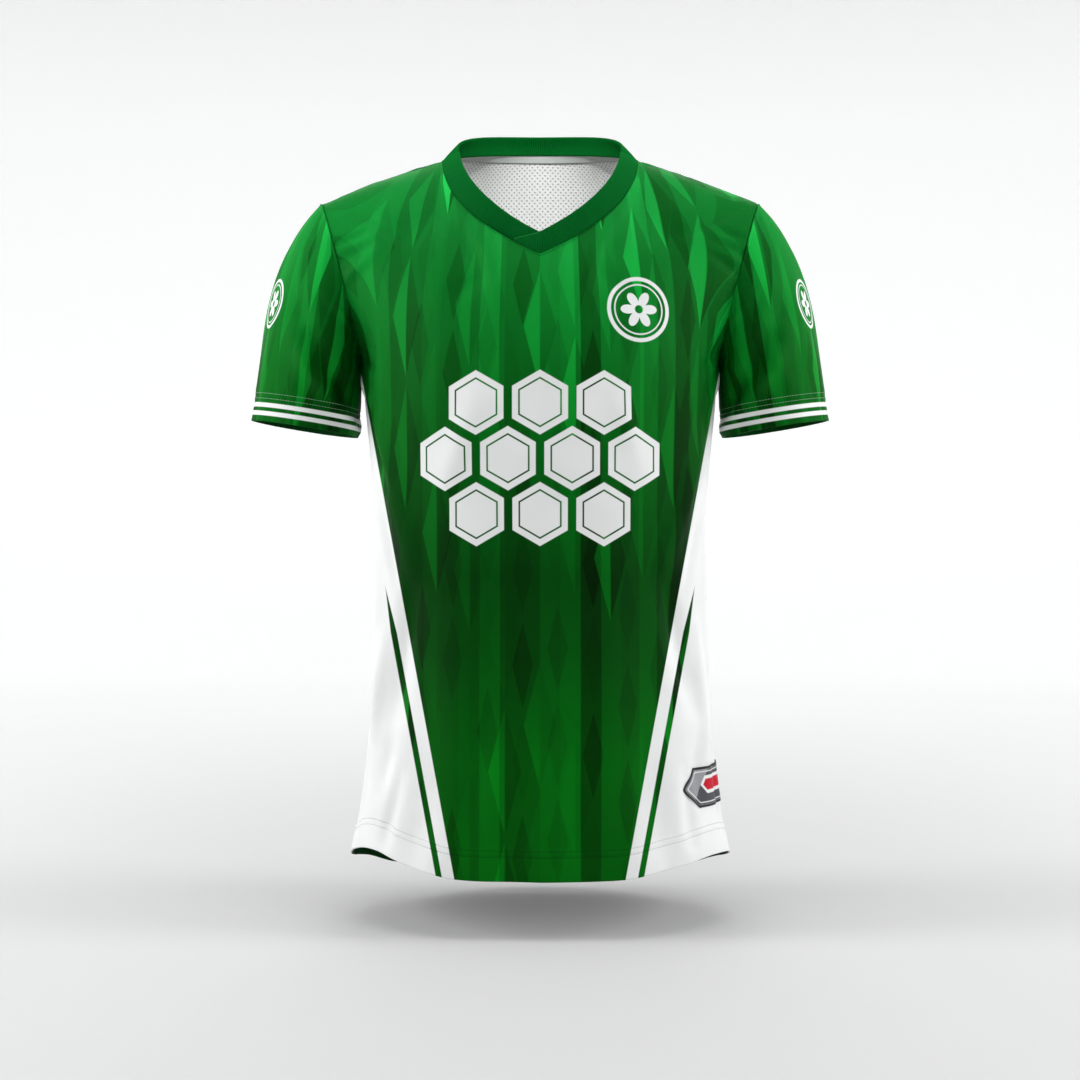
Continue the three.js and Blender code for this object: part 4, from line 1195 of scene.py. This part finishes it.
# %% The green ground
GROUND_LENGTH = 740.0
# the lightest tones near the top are partly painted highlight for the light from above on the shoulders; the dark
# belly is print
GROUND_PRINT_AND_HIGHLIGHT = (  # (share of the way down, darkest tone, lightest tone)
    (0.0, "#035f1a", "#1eb84e"),
    (0.2, "#01440b", "#10a038"),
    (0.36, "#003202", "#068423"),
    (0.56, "#001c00", "#015a10"),
    (0.66, "#002100", "#026212"),
    (0.8, "#003001", "#027e16"),
    (1.0, "#003401", "#027412"),
)
WHITE_DYE = "#e0e2e1"


def ground_print_and_highlight(cloth, across, up, height):
    """The green ground from shoulder to hem with its tonal pattern. Its light top is partly painted highlight."""
    fall = (height * (-1 / GROUND_LENGTH)).math("ADD", 0.0, clamp=True)
    dark = cloth.ramp(fall, *((place, darkest) for place, darkest, _ in GROUND_PRINT_AND_HIGHLIGHT))
    light = cloth.ramp(fall, *((place, lightest) for place, _, lightest in GROUND_PRINT_AND_HIGHLIGHT))
    return cloth.mix(tonal_pattern(cloth, across, up), dark, light)


def knit_relief(cloth, across, up):
    """The loops of the knit: fine upright wales crossed by courses, a little uneven."""
    loops = across.wave(0.95) * 0.5 + up.wave(0.8) * 0.3
    return loops + cloth.clouds(across, up, 2.2, 0.0) * 0.8


# %% Chest design and badge
HONEYCOMB_Z, CELL_PITCH, CELL_GAP = -303.0, 60.0, 8.0
CELL_LINE, CELL_LINE_INSET = 1.6, 6.5  # a thin green line inside each cell's edge
CELL_ROW = CELL_PITCH * math.sin(math.pi / 3)
CELLS_OF_A_QUARTER = ((0.5, 0), (1.5, 0), (0, 1), (1, 1))  # (cells beside, rows above) the middle
BADGE_X, BADGE_Z, BADGE_RADIUS = 95.0, -163.0, 31.0


def hexagon(x, z, half_width):
    """Distance outside a hexagon that stands on a corner, negative inside it."""
    return abs(x).larger(abs(x) * 0.5 + abs(z) * math.sin(math.pi / 3)) - half_width


def honeycomb(x, z):
    """Distance outside rows of three, four and three cells. All four quarters are alike."""
    beside, above = abs(x), abs(z - HONEYCOMB_Z)
    nearest, *others = (
        hexagon(beside - CELL_PITCH * cells, above - CELL_ROW * rows, (CELL_PITCH - CELL_GAP) / 2)
        for cells, rows in CELLS_OF_A_QUARTER
    )
    for other in others:
        nearest = nearest.smaller(other)
    line = abs(nearest + CELL_LINE_INSET) - CELL_LINE / 2
    return nearest.larger(-line)


def rosette(x, z, radius):
    """Distance outside a round badge: a ring, a thin inner ring and a flower of six petals."""
    away = (x * x + z * z).math("SQRT")
    angle = z.math("ARCTAN2", x)
    petals = away - (abs((angle * 3).math("COSINE")) * 0.34 + 0.24) * radius
    eye = -(away - radius * 0.13)
    ring = abs(away - radius * 0.94) - radius * 0.06
    thin_ring = abs(away - radius * 0.76) - radius * 0.022
    return ring.smaller(thin_ring).smaller(petals.larger(eye))


# %% Printed knit of the body
STRIPE_TOP_Z, STRIPE_TAPER = -425.0, 0.07  # the stripe starts in a point at the waist and widens downward
EYELET_PITCH, EYELET_ROW = 5.8, 2.9


def body_print(panel):
    cloth = Dyeing(panel + " printed knit")
    across, up, height = cloth.number("across"), cloth.number("up"), cloth.number("height")
    white_side = cloth.number("white_side")
    ground = ground_print_and_highlight(cloth, across, up, height)
    stripe_half_width = (height * -STRIPE_TAPER + STRIPE_TOP_Z * STRIPE_TAPER).smaller(STRIPE_HALF_WIDTH)
    stripe = abs(white_side - STRIPE_INSIDE) - stripe_half_width
    white = (-white_side).below(0.0, 0.35) * (-stripe).below(0.0, 0.35)
    if panel == "front":
        badge = rosette(across - BADGE_X, height - BADGE_Z, BADGE_RADIUS)
        white = white.larger(honeycomb(across, height).smaller(badge).below(0.0, 0.35))
    colour = cloth.mix(white, ground, WHITE_DYE)
    # painted shade: a thin dark line painted in the groove just below the top seam
    painted_seam_shade = (abs(cloth.number("from_top") - 2.6) - 0.45).below(0.0, 0.35) * 0.55  # beside the top seam
    colour = cloth.mix(painted_seam_shade, colour, "#012408")
    blotches = cloth.clouds(across, up, 60.0, 1.0)
    colour = cloth.mix((blotches * 0.16).math("ADD", -0.04, clamp=True), colour, "#000a02")
    roughness = white * 0.04 + 0.5
    return cloth.finish(colour, knit_relief(cloth, across, up), 0.09, roughness)


def body_lining(panel):
    """The inside of the knit: undyed white with eyelets at the neck, turning dark green lower down: the print's
    green showing through, with painted shade deep inside the body.
    """
    cloth = Dyeing(panel + " inside of the knit")
    across, up, height = cloth.number("across"), cloth.number("up"), cloth.number("height")
    row = (up / EYELET_ROW).math("FLOOR")
    sideways = across / EYELET_PITCH + row * 0.5
    sideways = sideways - sideways.math("FLOOR") - 0.5
    upward = up / EYELET_ROW - row - 0.5
    away = (sideways * sideways * 33.6 + upward * upward * 8.4).math("SQRT")
    eyelet = away.below(0.82, 0.25)
    white = cloth.mix(eyelet, "#f1f2f0", "#a9aeaa")
    # painted shade: the inside turns from white to dark green lower down in the body, where less light reaches
    depth = (height * -1.0).math("MULTIPLY_ADD", 1 / 160.0, -1.1, clamp=True)
    colour = cloth.mix(depth, white, "#0b3d14")
    relief = knit_relief(cloth, across, up) - eyelet * 3.0
    return cloth.finish(colour, relief, 0.12, 0.75)


for piece, panel in ((front_panel, "front"), (back_panel, "back")):
    piece.data.materials.append(body_print(panel))
    piece.data.materials.append(body_lining(panel))
    print(panel, "print has", len(piece.data.materials[0].node_tree.nodes), "nodes")

# %% [markdown]
# ## Sleeve print
#
# The sleeves carry the same ground. Two white bands run round each cuff below its stitches, and a small badge sits
# on the outside of the upper arm. The inside is plain dark green, because the bands are printed on one face only.

# %% Printed knit of the sleeves
WHITE_BANDS = ((13.8, 18.1), (5.7, 10.0))  # from the cuff's edge
SLEEVE_BADGE_ACROSS, SLEEVE_BADGE_UP, SLEEVE_BADGE_RADIUS = -46.0, 116.0, 25.0


def sleeve_print(name, first_band):
    cloth = Dyeing(name + " printed knit")
    across, up, height, edge = (cloth.number(n) for n in ("across", "up", "height", "from_cuff"))
    ground = ground_print_and_highlight(cloth, across + first_band, up, height * 1.25)
    badge = rosette(across - SLEEVE_BADGE_ACROSS, up - SLEEVE_BADGE_UP, SLEEVE_BADGE_RADIUS)
    white = badge.below(0.0, 0.35)
    for low, high in WHITE_BANDS:
        band = abs(edge - (low + high) / 2) - (high - low) / 2
        white = white.larger(band.below(0.0, 0.3))
    colour = cloth.mix(white, ground, WHITE_DYE)
    return cloth.finish(colour, knit_relief(cloth, across, up), 0.09, white * 0.04 + 0.5)


def plain_inside(name):
    cloth = Dyeing(name + " inside of the knit")
    across, up = cloth.number("across"), cloth.number("up")
    colour = cloth.mix(cloth.clouds(across, up, 9.0), "#04300c", "#0a4417")
    return cloth.finish(colour, knit_relief(cloth, across, up), 0.12, 0.78)


for piece, name, first_band in ((right_sleeve, "right sleeve", 310.0), (left_sleeve, "left sleeve", 640.0)):
    piece.data.materials.append(sleeve_print(name, first_band))
    piece.data.materials.append(plain_inside(name))
    print(name, "print has", len(piece.data.materials[0].node_tree.nodes), "nodes")

# %% Rib, tape, label and thread
def rib_yarn():
    cloth = Dyeing("dark green rib")
    along = cloth.number("along_rib")
    x, _, z = cloth.place()
    # painted shade: the rib's colour is darker in the furrows between its ridges
    painted_furrow_shade = (along.wave(RIB_PITCH) * -0.5 + 0.5).math("POWER", 2.0)
    colour = cloth.mix(painted_furrow_shade * 0.75, "#015f20", "#003310")
    relief = along.wave(RIB_PITCH / 2) * 0.3 + cloth.clouds(x, z, 1.4) * 0.9 + (x + z).wave(1.1) * 0.15
    return cloth.finish(colour, relief, 0.12, 0.74)


def woven_tape():
    cloth = Dyeing("grey woven tape")
    across, up = cloth.number("across"), cloth.number("up")
    twill = (across + up).wave(1.3) * 0.5 + 0.5
    colour = cloth.mix(twill * 0.5 + cloth.clouds(across, up, 6.0) * 0.3, "#cdd1ce", "#aab0ac")
    return cloth.finish(colour, twill, 0.1, 0.7, 0.1)


def woven_label():
    cloth = Dyeing("charcoal woven label")
    across, up, edge = cloth.number("across"), cloth.number("up"), cloth.number("from_edge")
    beside, above = abs(across - LABEL_LENGTH / 2), abs(up - 21.0)
    facet = (up * 0.9 + beside - 52.0).below(0.0, 0.4)
    colour = cloth.mix(facet, "#8f9194", "#4a4b4f")
    bar = (beside + above * 0.8 - 33.0).larger(above - 8.5)
    colour = cloth.mix(bar.below(0.0, 0.3), colour, "#dcdddd")
    colour = cloth.mix(bar.below(-3.2, 0.3), colour, "#b9152b")
    thin_line = abs(edge - 4.6) - 0.5
    colour = cloth.mix(thin_line.below(0.0, 0.3), colour, "#d6d7d8")
    colour = cloth.mix(edge.below(2.6, 0.3), colour, "#2f3033")
    ribs = up.wave(0.7) * 0.5 + across.wave(0.55) * 0.3
    return cloth.finish(colour, ribs + edge.below(2.6, 0.5) * 1.2, 0.12, 0.55, 0.1)


def spun_thread(name, light, dark, light_on_white=None):
    cloth = Dyeing(name)
    x, _, z = cloth.place()
    ply = (x + z).wave(0.45) * 0.5 + 0.5
    colour = cloth.mix(ply, light, dark)
    if light_on_white:
        colour = cloth.mix(cloth.number("pale"), colour, light_on_white)
    return cloth.finish(colour, ply, 0.06, 0.5)


# %% Give the small pieces their yarn
collar_rib.data.materials.append(rib_yarn())
for piece, woven in ((neck_tape, woven_tape()), (side_label, woven_label())):
    for _ in ("face", "back"):
        piece.data.materials.append(woven)
sewn_with = (
    (spun_thread("hem thread", "#01400c", "#012a05", "#a2a8a4"), (front_hem_thread, back_hem_thread)),
    (spun_thread("cuff thread", "#9dbba2", "#6d9675"), (right_cuff_thread, left_cuff_thread)),
    (spun_thread("neck thread", "#03481a", "#02320f"), (front_neck_thread, back_neck_thread)),
    (spun_thread("lap thread", "#2fa352", "#1c8a3e"), (lap_thread,)),
    (spun_thread("pale thread", "#c9ccc9", "#a5aaa6"), (tape_thread, label_thread)),
)
for yarn, seams in sewn_with:
    for seam in seams:
        seam.data.materials.append(yarn)
    print(yarn.name, "sews", ", ".join(seam.name for seam in seams))

# %% [markdown]
# ## Studio
#
# The jersey floats a little above a pale floor that curves up into a wall all round, so that no horizon shows from
# any side. One wide softbox hangs above and a little in front, which lights the shoulders and lays a soft shadow
# on the floor. Two more stand far out at the left and right and keep the sides bright, and a weak one behind lights
# the back. The inside of the back neck would be dark, so a spotlight with a narrow snoot looks down into it. The
# paper also glows faintly by itself, in place of the light that a white studio throws back and forth. Lamps aimed
# at the wall could make it as pale, but it would take many of them, and some of their light would reach the cloth.

# %% Floor that curves into a wall
FLOOR_Z = -0.753
FLAT_RADIUS, CURVE_RADIUS, WALL_TOP = 3.0, 2.0, 3.4
profile = [(radius, 0.0) for radius in np.linspace(0, FLAT_RADIUS, 8)]
for angle in np.linspace(0, math.pi / 2, 17)[1:]:
    profile.append((FLAT_RADIUS + CURVE_RADIUS * math.sin(angle), CURVE_RADIUS * (1 - math.cos(angle))))
profile.append((FLAT_RADIUS + CURVE_RADIUS, WALL_TOP))
radii, heights = np.array(profile).T[..., None]
turns = np.linspace(0, 2 * np.pi, 97)
bowl = np.stack(np.broadcast_arrays(radii * np.cos(turns), radii * np.sin(turns), heights + FLOOR_Z), -1)
mesh = bpy.data.meshes.new("studio_floor")
mesh.from_pydata(bowl.reshape(-1, 3).tolist(), [], grid_faces(*bowl.shape[:2]).tolist())
mesh.shade_smooth()
studio_floor = bpy.data.objects.new("studio_floor", mesh)
bpy.context.scene.collection.objects.link(studio_floor)
print("the paper is flat for", FLAT_RADIUS, "m and rises", WALL_TOP, "m")

# %% Pale paper with a faint glow
paper = Dyeing("pale paper")
x, y, z = (millimetres * MM for millimetres in paper.place())
away = ((x * x + y * y).math("SQRT") * (1 / (FLAT_RADIUS + CURVE_RADIUS))).math("ADD", 0.0, clamp=True)
# painted shade: the paper is darker round the middle, which tempers the pool of light from the softbox above and
# darkens the floor round the jersey
painted_shade_near_middle = ((0.0, "#c2c2c2"), (0.12, "#c6c6c6"), (0.3, "#dadada"))
tone = paper.ramp(away, *painted_shade_near_middle, (0.62, "#f7f7f7"), (1.0, "#f4f4f4"))
grain = paper.clouds(x, y, 0.004, 3.0)
paper.finish(tone, grain, 0.05, 0.9)
near_glow = ((0.0, "#474747"), (0.08, "#484848"), (0.16, "#4e4e4e"), (0.3, "#626262"))
glow = paper.ramp(away, *near_glow, (0.6, "#868686"), (1.0, "#a8a8a8"))
up_the_wall = (z * 0.4).math("ADD", 0.3, clamp=True)
paper.tree.links.new(paper.mix(up_the_wall, glow, "#6a6a6a"), paper.shader.inputs["Emission Color"])
paper.shader.inputs["Emission Strength"].default_value = 1.0
paper.material.cycles.emission_sampling = "NONE"  # it glows so evenly that rays find it by chance
mesh.materials.append(paper.material)

# %% Softboxes, snoot and sky
def softbox(name, place, aim, width, height, watts):
    """A rectangular light at a place in metres that faces another place."""
    light = bpy.data.lights.new(name, "AREA")
    light.shape, light.size, light.size_y, light.energy = "RECTANGLE", width, height, watts
    lamp = bpy.data.objects.new(name, light)
    lamp.location = place
    direction = np.array(aim, float) - np.array(place, float)
    lamp.rotation_euler = (
        math.atan2(math.hypot(direction[0], direction[1]), -direction[2]),
        0,
        math.atan2(-direction[0], direction[1]),
    )
    bpy.context.scene.collection.objects.link(lamp)


softbox("softbox_above", (0, -0.35, 1.7), (0, 0, -0.2), 1.5, 1.0, 18)
softbox("softbox_left", (-2.4, -0.35, 0.4), (0, 0, -0.35), 0.8, 1.7, 42)
softbox("softbox_right", (2.4, -0.35, 0.4), (0, 0, -0.35), 0.8, 1.7, 38)
softbox("softbox_behind", (0, 2.2, 1.3), (0, 0, -0.35), 1.6, 1.0, 12)
SNOOT_WATTS, SNOOT_CONE, SNOOT_DIP = 140, 6.4, 24.5  # the cone and how far it points down, in degrees
snoot = bpy.data.lights.new("snoot_for_the_neck", "SPOT")
snoot.energy, snoot.spot_size = SNOOT_WATTS, math.radians(SNOOT_CONE)
snoot.spot_blend, snoot.shadow_soft_size = 0.7, 0.05
snoot_lamp = bpy.data.objects.new("snoot_for_the_neck", snoot)
snoot_lamp.location, snoot_lamp.rotation_euler = (0, -1.6, 0.75), (math.radians(90 - SNOOT_DIP), 0, 0)
bpy.context.scene.collection.objects.link(snoot_lamp)
world = bpy.data.worlds.new("studio air")
bpy.context.scene.world = world
world.use_nodes = True
world.node_tree.nodes["Background"].inputs["Color"].default_value = (0.95, 0.96, 0.97, 1)
world.node_tree.nodes["Background"].inputs["Strength"].default_value = 0.4
bpy.context.scene.view_settings.view_transform = "Standard"
print(len(bpy.data.lights), "lamps and an even sky")

# %% [markdown]
# ## Camera
#
# The photograph is taken from straight ahead, level with the middle of the jersey and close enough for a little
# perspective: the hem of the back shows past the front's. Its frame is 1.08 m wide where the side seams lie.

# %% Camera
FRAME_WIDTH = 1080
SENSOR_WIDTH = 36
camera_data = bpy.data.cameras.new("camera")
camera_data.sensor_width = SENSOR_WIDTH
camera_data.lens = SENSOR_WIDTH * EYE_DISTANCE / FRAME_WIDTH
camera = bpy.data.objects.new("camera", camera_data)
camera.location = (0, -EYE_DISTANCE * MM, EYE_HEIGHT * MM)
camera.rotation_euler = (math.pi / 2, 0, 0)
bpy.context.scene.collection.objects.link(camera)
bpy.context.scene.camera = camera
print("lens", round(camera_data.lens, 1), "mm")
